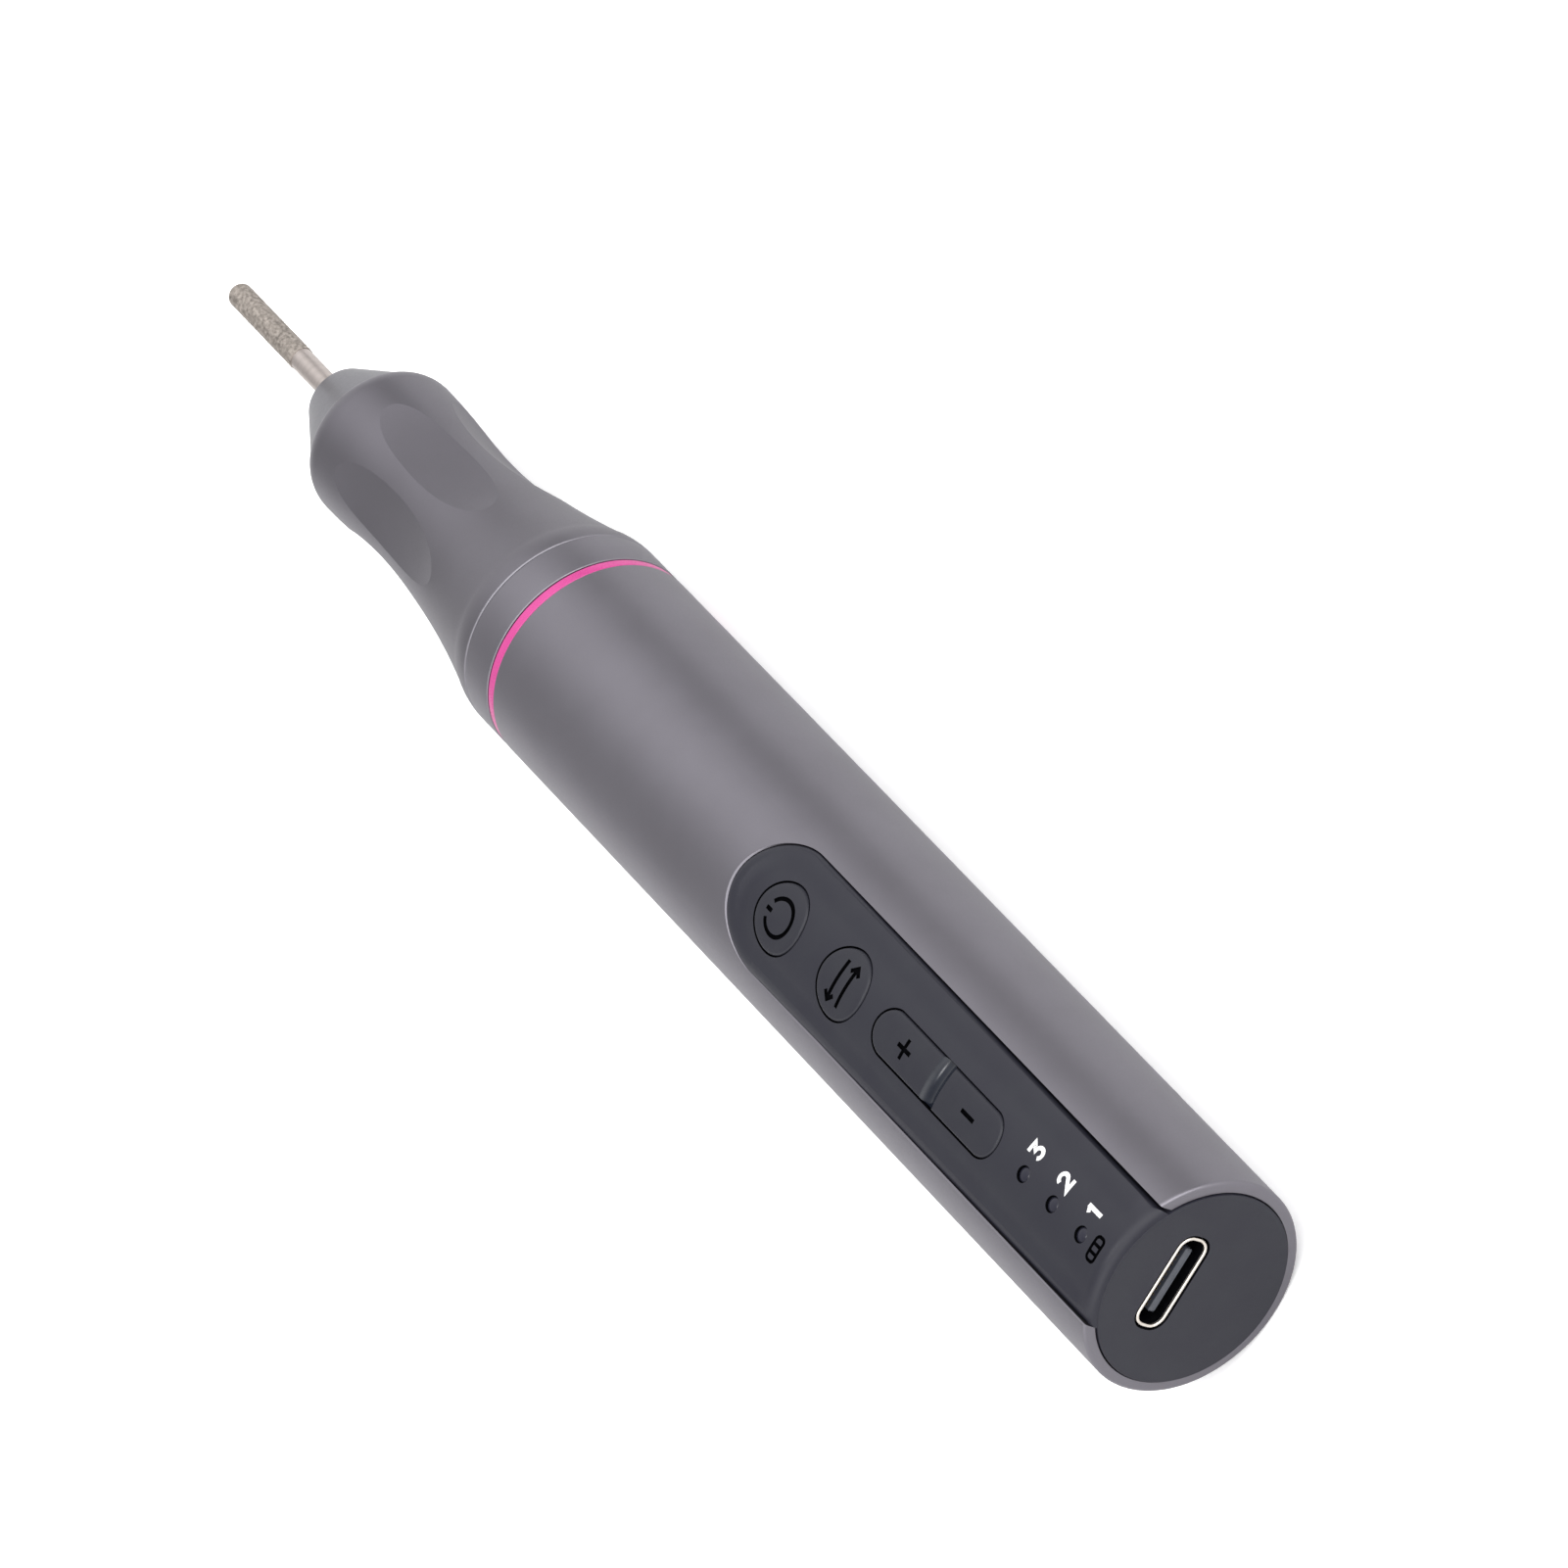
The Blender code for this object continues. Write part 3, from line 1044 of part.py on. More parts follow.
def grip_outer_outline():
    """Shoulder, flare, waist, swell and rounded front of the grip."""
    points = []
    shoulder_steps = FILLET_STEPS
    drop = COLLAR_RADIUS - GRIP_SHOULDER_RADIUS
    for step in range(shoulder_steps + 1):
        share = step / shoulder_steps
        points.append((GRIP_START + GRIP_SHOULDER_LENGTH * share, COLLAR_RADIUS - drop * share**2))
    flare_start = GRIP_START + GRIP_SHOULDER_LENGTH
    flare_rise = GRIP_SHOULDER_RADIUS - GRIP_WAIST_RADIUS
    for step in range(1, GRIP_FLARE_STEPS + 1):
        share = step / GRIP_FLARE_STEPS
        along = flare_start + (WAIST_STATION - flare_start) * share
        points.append((along, GRIP_WAIST_RADIUS + flare_rise * (1 - share) ** GRIP_FLARE_POWER))
    swell = GRIP_BULGE_RADIUS - GRIP_WAIST_RADIUS
    for step in range(1, GRIP_SWELL_STEPS + 1):
        share = step / GRIP_SWELL_STEPS
        along = WAIST_STATION + (BULGE_STATION - WAIST_STATION) * share
        points.append((along, GRIP_WAIST_RADIUS + swell * (1 - math.cos(math.pi * share)) / 2))
    front_drop = GRIP_BULGE_RADIUS - GRIP_FRONT_RADIUS
    front_run = GRIP_END - BULGE_STATION
    radius = (front_drop**2 + front_run**2) / (2 * front_drop)
    sweep = math.asin(front_run / radius)
    centre = (BULGE_STATION, GRIP_BULGE_RADIUS - radius)
    points += arc(centre, radius, math.pi / 2, math.pi / 2 - sweep, FILLET_STEPS)[1:]
    return points


def make_grip_sleeve(pen, finishes):
    """Waisted grip with stepped bore and a ring of milled finger scallops."""
    rear_bore = COLLAR_FRONT_SPIGOT_RADIUS + SEAM_GAP
    outline = grip_outer_outline() + [
        (GRIP_END, GRIP_FRONT_BORE_RADIUS),
        (FRONT_BORE_START, GRIP_FRONT_BORE_RADIUS),
        (FRONT_BORE_START, BEARING_SEAT_RADIUS),
        (FRONT_SEAT_START, BEARING_SEAT_RADIUS),
        (FRONT_SEAT_START, GRIP_CORE_RADIUS),
        (REAR_SEAT_END, GRIP_CORE_RADIUS),
        (REAR_SEAT_END, BEARING_SEAT_RADIUS),
        (REAR_SEAT_START, BEARING_SEAT_RADIUS),
        (REAR_SEAT_START, rear_bore),
        (GRIP_START, rear_bore),
    ]
    grip = add_object("grip_sleeve", turned(outline, FINE_SIDES), finishes["anodised"], pen)
    floor = GRIP_WAIST_RADIUS - SCALLOP_DEPTH
    rise = COLLAR_RADIUS - floor
    sweep = math.acos((SCALLOP_CUTTER_RADIUS - rise) / SCALLOP_CUTTER_RADIUS)
    centre = (WAIST_STATION - SCALLOP_SETBACK, floor + SCALLOP_CUTTER_RADIUS)
    down = -math.pi / 2
    section = arc(centre, SCALLOP_CUTTER_RADIUS, down - sweep, down + sweep, SCALLOP_STEPS)
    top = COLLAR_RADIUS + CUT_OVERRUN
    section += [(section[-1][0], top), (section[0][0], top)]
    for index in range(SCALLOP_COUNT):
        scallop = crosswise(section, -SCALLOP_WIDTH / 2, SCALLOP_WIDTH / 2)
        turn = Matrix.Rotation(SCALLOP_TURN + math.tau * index / SCALLOP_COUNT, 4, "X")
        bmesh.ops.transform(scallop, matrix=turn, verts=scallop.verts)
        cut(grip, scallop, f"scallop_cutter_{index + 1}")


def make_bearing(name, rear, pen, finishes):
    """Shielded ball bearing: outer race with shields, and inner race."""
    front = rear + BEARING_WIDTH
    outer_land = BEARING_OUTER_RADIUS - RACE_DEPTH
    inner_land = BEARING_BORE_RADIUS + RACE_DEPTH
    shield = inner_land + SEAM_GAP
    outer = [
        (rear, shield),
        (rear, BEARING_OUTER_RADIUS),
        (front, BEARING_OUTER_RADIUS),
        (front, shield),
        (front - BEARING_SHIELD_THICKNESS, shield),
        (front - BEARING_SHIELD_THICKNESS, outer_land),
        (rear + BEARING_SHIELD_THICKNESS, outer_land),
        (rear + BEARING_SHIELD_THICKNESS, shield),
    ]
    add_object(f"{name}_outer_race", turned(outer, INNER_SIDES), finishes["steel"], pen)
    inner = tube(rear, front, BEARING_BORE_RADIUS, inner_land)
    inner_form = turned(inner, INNER_SIDES)
    add_object(f"{name}_inner_race", inner_form, finishes["steel"], pen, origin=(rear, 0, 0))


def make_bearing_parts(pen, finishes):
    """Both bearings, the washer that loads them and the threaded retainer."""
    make_bearing("rear_bearing", REAR_BEARING_START, pen, finishes)
    make_bearing("front_bearing", FRONT_BEARING_START, pen, finishes)
    ring_inner = BEARING_OUTER_RADIUS - RACE_DEPTH
    washer_end = WASHER_START + BEARING_WASHER_THICKNESS
    washer = tube(WASHER_START, washer_end, ring_inner, BEARING_OUTER_RADIUS)
    add_object("bearing_washer", turned(washer, INNER_SIDES), finishes["steel"], pen)
    retainer_end = RETAINER_START + RETAINER_LENGTH
    retainer = tube(RETAINER_START, retainer_end, ring_inner, BEARING_OUTER_RADIUS)
    add_object("bearing_retainer", turned(retainer, INNER_SIDES), finishes["zinc"], pen)


def make_spindle(pen, finishes):
    """Hollow spindle: tenon, two journals, waist and tapered mouth."""
    bore_start = SPINDLE_END - SPINDLE_BORE_DEPTH
    journal_end = REAR_BEARING_START + BEARING_WIDTH + SEAM_GAP
    front_journal = FRONT_BEARING_START - SEAM_GAP
    mouth_start = COLLET_HEAD_START - FIT_GAP
    outline = [
        (SPINDLE_START, 0),
        (SPINDLE_START, SPINDLE_TENON_RADIUS),
        (SPINDLE_JOURNAL_START, SPINDLE_TENON_RADIUS),
        (SPINDLE_JOURNAL_START, JOURNAL_RADIUS),
        (journal_end, JOURNAL_RADIUS),
        (journal_end, SPINDLE_WAIST_RADIUS),
        (front_journal, SPINDLE_WAIST_RADIUS),
        (front_journal, JOURNAL_RADIUS),
        (SPINDLE_END, JOURNAL_RADIUS),
        (SPINDLE_END, COLLET_HEAD_RADIUS + SEAM_GAP),
        (mouth_start, SPINDLE_BORE_RADIUS),
        (bore_start, SPINDLE_BORE_RADIUS),
        (bore_start, 0),
    ]
    spindle = turned(outline, INNER_SIDES)
    add_object("spindle_shaft", spindle, finishes["steel"], pen, origin=(SPINDLE_START, 0, 0))


def make_drive_coupling(pen, finishes):
    """Sleeve that joins the motor shaft to the spindle, with two set screws."""
    rear = COUPLING_MIDDLE - COUPLING_LENGTH / 2
    front = COUPLING_MIDDLE + COUPLING_LENGTH / 2
    motor_bore = MOTOR_SHAFT_RADIUS + SEAM_GAP
    spindle_bore = SPINDLE_TENON_RADIUS + SEAM_GAP
    outline = [
        (rear, motor_bore),
        (rear, COUPLING_RADIUS),
        (front, COUPLING_RADIUS),
        (front, spindle_bore),
        (SPINDLE_START - FIT_GAP, spindle_bore),
        (SPINDLE_START - FIT_GAP, motor_bore),
    ]
    middle = (COUPLING_MIDDLE, 0, 0)
    form = turned(outline, INNER_SIDES)
    coupling = add_object("drive_coupling", form, finishes["brass"], pen, origin=middle)
    for side, word, bore in ((-1, "rear", MOTOR_SHAFT_RADIUS), (1, "front", SPINDLE_TENON_RADIUS)):
        station = COUPLING_MIDDLE + side * SET_SCREW_SPREAD / 2
        hole = rod(bore, COUPLING_RADIUS + CUT_OVERRUN, SET_SCREW_RADIUS + CLOSE_GAP, TINY_SIDES)
        cut(coupling, stood_up(hole, station), f"{word}_set_screw_cutter")
        screw = rod(bore + SEAM_GAP, COUPLING_RADIUS - SEAM_GAP, SET_SCREW_RADIUS, TINY_SIDES)
        add_object(f"{word}_set_screw", stood_up(screw, station), finishes["steel"], pen, origin=middle)


def make_collet(pen, finishes):
    """Split collet with a double-tapered head."""
    back = COLLET_HEAD_START + COLLET_HEAD_LENGTH * COLLET_HEAD_BACK_SHARE
    land = COLLET_HEAD_START + COLLET_HEAD_LENGTH * COLLET_HEAD_LAND_SHARE
    outline = [
        (COLLET_START, COLLET_BORE_RADIUS),
        (COLLET_START, COLLET_STEM_RADIUS),
        (COLLET_HEAD_START, COLLET_STEM_RADIUS),
        (back, COLLET_HEAD_RADIUS),
        (land, COLLET_HEAD_RADIUS),
        (COLLET_END, COLLET_TIP_RADIUS),
        (COLLET_END, COLLET_BORE_RADIUS),
    ]
    form = turned(outline, INNER_SIDES)
    collet = add_object("collet", form, finishes["brass"], pen, origin=(COLLET_START, 0, 0))
    slit_rear = COLLET_END - COLLET_SLIT_LENGTH
    slit_front = COLLET_END + CUT_OVERRUN
    tall = COLLET_HEAD_RADIUS + CUT_OVERRUN
    half = COLLET_SLIT / 2
    cut(collet, block(slit_rear, slit_front, half, -tall, tall), "upright_slit_cutter")
    cut(collet, block(slit_rear, slit_front, tall, -half, half), "level_slit_cutter")


def make_collet_nut(pen, finishes):
    """Closing nut with an inner cone and two wrench flats."""
    rear = COLLET_END + NUT_LIP + FIT_GAP - NUT_LENGTH
    front = rear + NUT_LENGTH
    cone_start = SPINDLE_END + SEAT_GAP
    lip_start = front - NUT_LIP
    outline = [
        (rear, NUT_BORE_RADIUS),
        (rear, NUT_RADIUS),
        (lip_start, NUT_RADIUS),
        (front, NUT_RADIUS - NUT_LIP),
        (front, COLLET_TIP_RADIUS + SEAM_GAP),
        (lip_start, COLLET_TIP_RADIUS + SEAM_GAP),
        (cone_start, NUT_BORE_RADIUS),
    ]
    form = turned(outline, INNER_SIDES)
    nut = add_object("collet_nut", form, finishes["zinc"], pen, origin=(rear, 0, 0))
    low = NUT_RADIUS - NUT_FLAT_SETBACK
    for side, word in ((-1, "lower"), (1, "upper")):
        heights = sorted((side * low, side * (NUT_RADIUS + CUT_OVERRUN)))
        flat = block(front - NUT_FLAT_LENGTH, front + CUT_OVERRUN, NUT_RADIUS, *heights)
        cut(nut, flat, f"{word}_nut_flat_cutter")


def make_nose_cone(pen, finishes):
    """Screw-off nose: threaded spigot, cone, rounded front and inner cavity."""
    taper = math.atan(NOSE_SLOPE)
    centre_along = NOSE_END - NOSE_FRONT_ROUND
    cone_there = NOSE_BASE_RADIUS - NOSE_SLOPE * (centre_along - NOSE_START)
    centre = (centre_along, cone_there - NOSE_FRONT_ROUND / math.cos(taper))
    spigot_rear = FRONT_BORE_START + FIT_GAP
    outline = [
        (spigot_rear, NOSE_CAVITY_RADIUS),
        (spigot_rear, NOSE_SPIGOT_RADIUS),
        (NOSE_START, NOSE_SPIGOT_RADIUS),
        (NOSE_START, NOSE_BASE_RADIUS),
    ]
    outline += arc(centre, NOSE_FRONT_ROUND, math.pi / 2 - taper, 0, FILLET_STEPS)
    outline += [
        (NOSE_END, NOSE_HOLE_RADIUS),
        (NOSE_END - NOSE_HOLE_LENGTH, NOSE_HOLE_RADIUS),
        (NOSE_START + NOSE_CAVITY_DEPTH, NOSE_CAVITY_RADIUS),
    ]
    form = turned(outline, FINE_SIDES)
    add_object("nose_cone", form, finishes["nose"], pen, origin=(NOSE_START, 0, 0))


def make_burr(pen, finishes):
    """Diamond burr: shank, neck and plated head with a rounded tip."""
    neck_start = NOSE_END - BURR_NECK_SETBACK
    head_start = BURR_TIP - BURR_HEAD_LENGTH
    tip_centre = (BURR_TIP - BURR_TIP_ROUND, BURR_HEAD_RADIUS - BURR_TIP_ROUND)
    outline = [
        (BURR_START, 0),
        (BURR_START, BURR_SHANK_RADIUS),
        (neck_start - BURR_SHOULDER, BURR_SHANK_RADIUS),
        (neck_start, BURR_NECK_RADIUS),
        (head_start - BURR_SHOULDER, BURR_NECK_RADIUS),
        (head_start, BURR_HEAD_RADIUS),
    ]
    outline += arc(tip_centre, BURR_TIP_ROUND, math.pi / 2, 0, FILLET_STEPS)
    outline += [(BURR_TIP, 0)]
    form = turned(outline, INNER_SIDES)
    add_object("diamond_burr", form, finishes["grit"], pen, origin=(BURR_START, 0, 0))


def build_pen():
    """Make every sub-part in the pen's frame and set the frame on the ground."""
    clear_scene()
    finishes = make_finishes()
    pen = add_empty("pen_axis", (-PEN_LENGTH / 2, 0, AXIS_HEIGHT))
    make_body_tube(pen, finishes)
    make_control_panel(pen, finishes)
    make_charging_socket(pen, finishes)
    make_round_key("direction_key", DIRECTION_KEY_STATION, pen, finishes)
    make_round_key("power_key", POWER_KEY_STATION, pen, finishes)
    make_speed_rocker(pen, finishes)
    make_indicator_lights(pen, finishes)
    make_control_board(pen, finishes)
    make_battery(pen, finishes)
    make_battery_cradle(pen, finishes)
    make_motor(pen, finishes)
    make_accent_ring(pen, finishes)
    make_coupling_collar(pen, finishes)
    make_grip_sleeve(pen, finishes)
    make_bearing_parts(pen, finishes)
    make_spindle(pen, finishes)
    make_drive_coupling(pen, finishes)
    make_collet(pen, finishes)
    make_collet_nut(pen, finishes)
    make_nose_cone(pen, finishes)
    make_burr(pen, finishes)


build_pen()
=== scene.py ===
"""Looks of the cordless engraving pen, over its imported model.

Each piece is drawn in the pen's own axes: X runs along the spindle from the
tail face, Z points out of the control panel. It then goes to the place that
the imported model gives, and rides on the body that it belongs to.
"""

import math

import bmesh
import bpy
from mathutils import Matrix, Vector, noise


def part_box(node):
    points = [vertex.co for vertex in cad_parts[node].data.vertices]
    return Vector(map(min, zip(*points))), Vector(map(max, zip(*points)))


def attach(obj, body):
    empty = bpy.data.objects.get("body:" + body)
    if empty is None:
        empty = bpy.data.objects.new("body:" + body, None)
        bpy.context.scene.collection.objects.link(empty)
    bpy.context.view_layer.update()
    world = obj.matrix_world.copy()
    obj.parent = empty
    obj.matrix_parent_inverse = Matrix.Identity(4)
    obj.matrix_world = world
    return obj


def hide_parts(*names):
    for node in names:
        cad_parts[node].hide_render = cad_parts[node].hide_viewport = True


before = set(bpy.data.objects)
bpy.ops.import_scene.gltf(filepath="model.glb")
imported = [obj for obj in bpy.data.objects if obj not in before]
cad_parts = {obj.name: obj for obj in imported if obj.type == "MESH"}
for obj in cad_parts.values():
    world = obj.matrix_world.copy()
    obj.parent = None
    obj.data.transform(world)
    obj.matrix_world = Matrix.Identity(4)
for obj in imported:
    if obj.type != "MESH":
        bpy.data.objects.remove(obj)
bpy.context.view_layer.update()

MM = 0.001

# The pen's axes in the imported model
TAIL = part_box("control_panel")[0].x
AXIS_HEIGHT = (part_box("diamond_burr")[0].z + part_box("diamond_burr")[1].z) / 2
PEN_PLACE = Matrix.Translation((TAIL, 0, AXIS_HEIGHT))


def rear_of(node):
    """Station of a node's rear end, from the tail face."""
    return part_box(node)[0].x - TAIL


def front_of(node):
    """Station of a node's front end, from the tail face."""
    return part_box(node)[1].x - TAIL


def middle_of(node):
    """Station halfway along a node."""
    return (rear_of(node) + front_of(node)) / 2


def radius_of(node):
    """Radius of a turned node."""
    return (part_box(node)[1].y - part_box(node)[0].y) / 2


def height_of(node, end):
    """Height of a node's low (0) or high (1) end over the pen's axis."""
    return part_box(node)[end].z - AXIS_HEIGHT


# Sides and steps of round forms
TURN_SIDES = 224
HOLE_SIDES = 72
CORNER_STEPS = 6
CURVE_STEPS = 40
SHARP_ANGLE = math.radians(28)
CRISP_ANGLE = math.radians(5)
DOWN = -math.pi / 2
OVERRUN = 1.0 * MM

# Fits
SEAM_GAP = 0.15 * MM
HAIR_GAP = 0.04 * MM
FIT_GAP = 0.2 * MM
SEAT_GAP = 0.25 * MM

# Body tube
TUBE_RADIUS = radius_of("body_tube")
TUBE_BORE_RADIUS = TUBE_RADIUS - 1.1 * MM
TUBE_RIM_ROUND = 0.42 * MM
TUBE_EDGE = 0.1 * MM
SLOT_EDGE = 0.14 * MM

# Control panel
PANEL_RADIUS = TUBE_RADIUS - 0.35 * MM
PANEL_INNER_RADIUS = PANEL_RADIUS - 1.4 * MM
PANEL_TAIL_ROUND = 1.15 * MM
PANEL_EDGE_WIDTH = 1.3 * MM
PANEL_EDGE_DROP = 0.3 * MM
PANEL_EDGE_END = math.radians(103)
FAR_EDGE_SHARE = 0.25
PANEL_HALF_WIDTH = 5.68 * MM
PANEL_LIFT = 0.46 * MM
PANEL_LIFT_REACH = 2.3 * MM
PANEL_LIFT_START = 0.6 * MM
PANEL_LIFT_STEP = 0.3 * MM
PANEL_LIFT_MARGIN = 0.012 * MM
PLUG_RADIUS = TUBE_BORE_RADIUS - FIT_GAP
CAP_RADIUS = TUBE_BORE_RADIUS - HAIR_GAP
CAP_EDGE = 0.05 * MM
CAP_WALL = 1.6 * MM
SKIRT_LENGTH = 5.0 * MM
SKIRT_RADIUS = PLUG_RADIUS - 1.05 * MM
LIP_REACH = 1.2 * MM
LIP_RADIUS = TUBE_BORE_RADIUS - SEAT_GAP
LIP_INNER_RADIUS = LIP_RADIUS - 0.6 * MM
PANEL_FRONT = front_of("control_panel") - LIP_REACH - HAIR_GAP
SLOT_FRONT = PANEL_FRONT + HAIR_GAP
SLOT_HALF_WIDTH = 5.88 * MM
SLOT_SHIFT = -0.16 * MM
OPENING_EDGE = 0.03 * MM

# Keys and rocker
CROWN_RADIUS = PANEL_RADIUS + 0.08 * MM
KEY_GAP = 0.12 * MM
KEY_RADIUS = 3.14 * MM
KEY_HOLE_RADIUS = KEY_RADIUS + KEY_GAP
KEY_EDGE = 0.24 * MM
KEY_LIP_REACH = 0.8 * MM
KEY_LIP_THICKNESS = 0.55 * MM
KEY_PLUNGER_RADIUS = 1.2 * MM
CROWN_STEPS = 8
ROCKER_STATION = middle_of("speed_rocker")
ROCKER_HALF_LENGTH = 9.65 * MM
ROCKER_HALF_WIDTH = 2.1 * MM
ROCKER_TILT = math.radians(2)
PIVOT_RISE = (height_of("rocker_pin", 0) + height_of("rocker_pin", 1)) / 2
PIVOT_BORE_RADIUS = 0.55 * MM
ROCKER_HUB_DEPTH = 0.9 * MM
ROCKER_HUB_HALF_LENGTH = 1.3 * MM
VALLEY_HALF_WIDTH = 1.0 * MM
VALLEY_DEPTH = 0.5 * MM

# Marks pressed into the keys and the panel
MARK_DEPTH = 0.3 * MM
MARK_STROKE = 0.4 * MM
PATH_STEP = 0.25 * MM
SIGN_HALF_SIZE = 0.95 * MM
SIGN_OFFSET = 5.1 * MM
POWER_RING_RADIUS = 1.66 * MM
POWER_GAP = math.radians(27)
POWER_BAR = (1.1 * MM, 1.9 * MM)
ARROW_HALF_LENGTH = 1.95 * MM
ARROW_SPREAD = 1.4 * MM
ARROW_HEAD = 0.6 * MM
CELL_SIGN_STATION = 2.39 * MM
CELL_SIGN_HALF_LENGTH = 0.5 * MM
CELL_SIGN_HALF_WIDTH = 1.08 * MM
CELL_SIGN_STROKE = 0.3 * MM
CELL_SIGN_CORNER = 0.36 * MM
CELL_SIGN_WALL = 0.36 * MM

# Printed digits beside the lights
DIGIT_STROKE = 0.38 * MM
DIGIT_OFFSET = 2.17 * MM
DIGIT_SHIFT = 0.28 * MM
PAINT_THICKNESS = 0.012 * MM

# Strokes of the digits as (right, up) points in millimetres; arcs turn by shares of half a turn
ONE_STEM = [(0.08, -0.94), (0.08, 0.94)]
ONE_FLAG = [(0.06, 0.76), (-0.42, 0.44)]
TWO_FOOT = [(-0.5, -0.76), (0.58, -0.76)]
TWO_CENTRE = (0, 0.34)
TWO_ARC = (0.94, -0.22)
THREE_TOP = [(-0.5, 0.76), (0.4, 0.76), (-0.02, 0.16)]
THREE_CENTRE = (-0.02, -0.3)
THREE_ARC = (0.42, -0.86)
DIGIT_ARC_RADIUS = 0.46

# Indicator lights
LIGHT_NODES = ("indicator_led_1", "indicator_led_2", "indicator_led_3")
LENS_RADIUS = 0.68 * MM
LENS_HOLE_RADIUS = LENS_RADIUS + HAIR_GAP
LENS_SETBACK = 0.1 * MM
LENS_DOME = 0.2 * MM
LIGHT_PIPE_THICKNESS = 0.6 * MM

# Charging socket
SOCKET_START = rear_of("socket_shell")
SOCKET_END = front_of("socket_shell")
SOCKET_RISE = (height_of("socket_shell", 0) + height_of("socket_shell", 1)) / 2 - 0.2 * MM
SOCKET_HALF_WIDTH = radius_of("socket_shell") - 0.08 * MM
SOCKET_HALF_HEIGHT = 1.6 * MM
SOCKET_CORNER = 1.3 * MM
SOCKET_WALL = 0.3 * MM
SOCKET_BACK = 1.0 * MM
# Near-black sheet inside the shell: painted shade in the socket's depth
SOCKET_SHADE_SHEET = 0.04 * MM
SOCKET_SHADE_SHEET_SETBACK = 0.25 * MM
TONGUE_START = SOCKET_START + 0.3 * MM
TONGUE_END = front_of("socket_tongue")
TONGUE_RISE = SOCKET_RISE - 0.12 * MM
TONGUE_HALF_WIDTH = radius_of("socket_tongue") - 0.25 * MM
TONGUE_HALF_HEIGHT = (height_of("socket_tongue", 1) - height_of("socket_tongue", 0)) / 2
TONGUE_TIP = TONGUE_HALF_HEIGHT * 0.6
TONGUE_CORNER = TONGUE_HALF_HEIGHT * 0.3
MOUTH_GAP = 0.12 * MM
MOUTH_EDGE = 0.08 * MM
CONTACT_COUNT = 12
CONTACT_PITCH = 0.5 * MM
CONTACT_WIDTH = 0.25 * MM
CONTACT_THICKNESS = 0.03 * MM
CONTACT_SETBACK = 0.6 * MM

# Accent ring and collar
RING_RADIUS = TUBE_RADIUS - 0.09 * MM
RING_EDGE = 0.14 * MM
RING_FRONT = front_of("accent_ring") - 0.2 * MM
COLLAR_RADIUS = TUBE_RADIUS - 0.02 * MM
COLLAR_EDGE = 0.12 * MM
COLLAR_FRONT_SPIGOT_RADIUS = PLUG_RADIUS - 0.5 * MM
COLLAR_BORE_RADIUS = COLLAR_FRONT_SPIGOT_RADIUS - 0.85 * MM

# Grip sleeve
GRIP_START = rear_of("grip_sleeve")
GRIP_END = front_of("grip_sleeve")
GRIP_REAR_EDGE = 0.18 * MM
GRIP_SHOULDER_LENGTH = 2.6 * MM
GRIP_SHOULDER_RADIUS = COLLAR_RADIUS - 0.46 * MM
GRIP_FLARE_POWER = 1.84
GRIP_WAIST_RADIUS = 7.07 * MM
GRIP_WAIST_STATION = GRIP_END - 12.25 * MM
GRIP_BULGE_RADIUS = 7.42 * MM
GRIP_BULGE_STATION = GRIP_END - 2.0 * MM
GRIP_FRONT_RADIUS = 6.62 * MM
GRIP_FRONT_BORE_RADIUS = 5.5 * MM
GRIP_FRONT_BORE_DEPTH = 3.35 * MM
SCALLOP_COUNT = 6
SCALLOP_CUTTER_RADIUS = 38.8 * MM
SCALLOP_DEPTH = 0.5 * MM
SCALLOP_WIDTH = 6.4 * MM
SCALLOP_SETBACK = 0.6 * MM
SCALLOP_TURN = math.radians(-18.4)
SCALLOP_STEPS = 96

# Bearings' seats in the grip
SEAT_RADIUS = 5.15 * MM
CORE_RADIUS = 4.1 * MM
REAR_SEAT_START = rear_of("bearing_washer") - SEAM_GAP
REAR_SEAT_END = front_of("rear_bearing_outer_race") + SEAM_GAP
FRONT_SEAT_START = rear_of("front_bearing_outer_race") - SEAM_GAP

# Nose cone
NOSE_START = GRIP_END + HAIR_GAP
NOSE_END = front_of("nose_cone")
NOSE_SPIGOT_START = rear_of("nose_cone")
NOSE_BASE_RADIUS = 6.58 * MM
NOSE_BASE_EDGE = 0.04 * MM
NOSE_SLOPE = 0.512
NOSE_FRONT_ROUND = 1.24 * MM
NOSE_HOLE_RADIUS = 1.5 * MM
NOSE_HOLE_LENGTH = 1.4 * MM
NOSE_HOLE_EDGE = 0.12 * MM
NOSE_CAVITY_RADIUS = 4.7 * MM
NOSE_CAVITY_DEPTH = 2.3 * MM
NOSE_SPIGOT_RADIUS = 5.3 * MM
THREAD_PITCH = 0.5 * MM
THREAD_DEPTH = 0.14 * MM
THREAD_START = NOSE_SPIGOT_START + THREAD_PITCH
THREAD_END = NOSE_START - THREAD_PITCH
THREAD_STEPS = 8

# Burr
BURR_START = rear_of("diamond_burr")
BURR_TIP = front_of("diamond_burr")
BURR_SHANK_RADIUS = 1.17 * MM
BURR_NECK_RADIUS = 1.09 * MM
BURR_NECK_START = NOSE_END - 2.0 * MM
BURR_SHOULDER = 0.45 * MM
BURR_HEAD_START = BURR_TIP - 12.0 * MM
BURR_HEAD_RADIUS = 1.19 * MM
BURR_TIP_ROUND = 0.75 * MM
GRIT_SIZE = 0.16 * MM
GRIT_RELIEF = 0.07 * MM
GRIT_FADE = 3.0 * MM
GRIT_TIP_SHARE = 0.4
GRIT_SHARPNESS = 1.3
GRIT_WAVE_SHARE = 0.25
GRIT_WAVE_FINENESS = 2.3
HEAD_SIDES = 96
HEAD_RINGS = 170

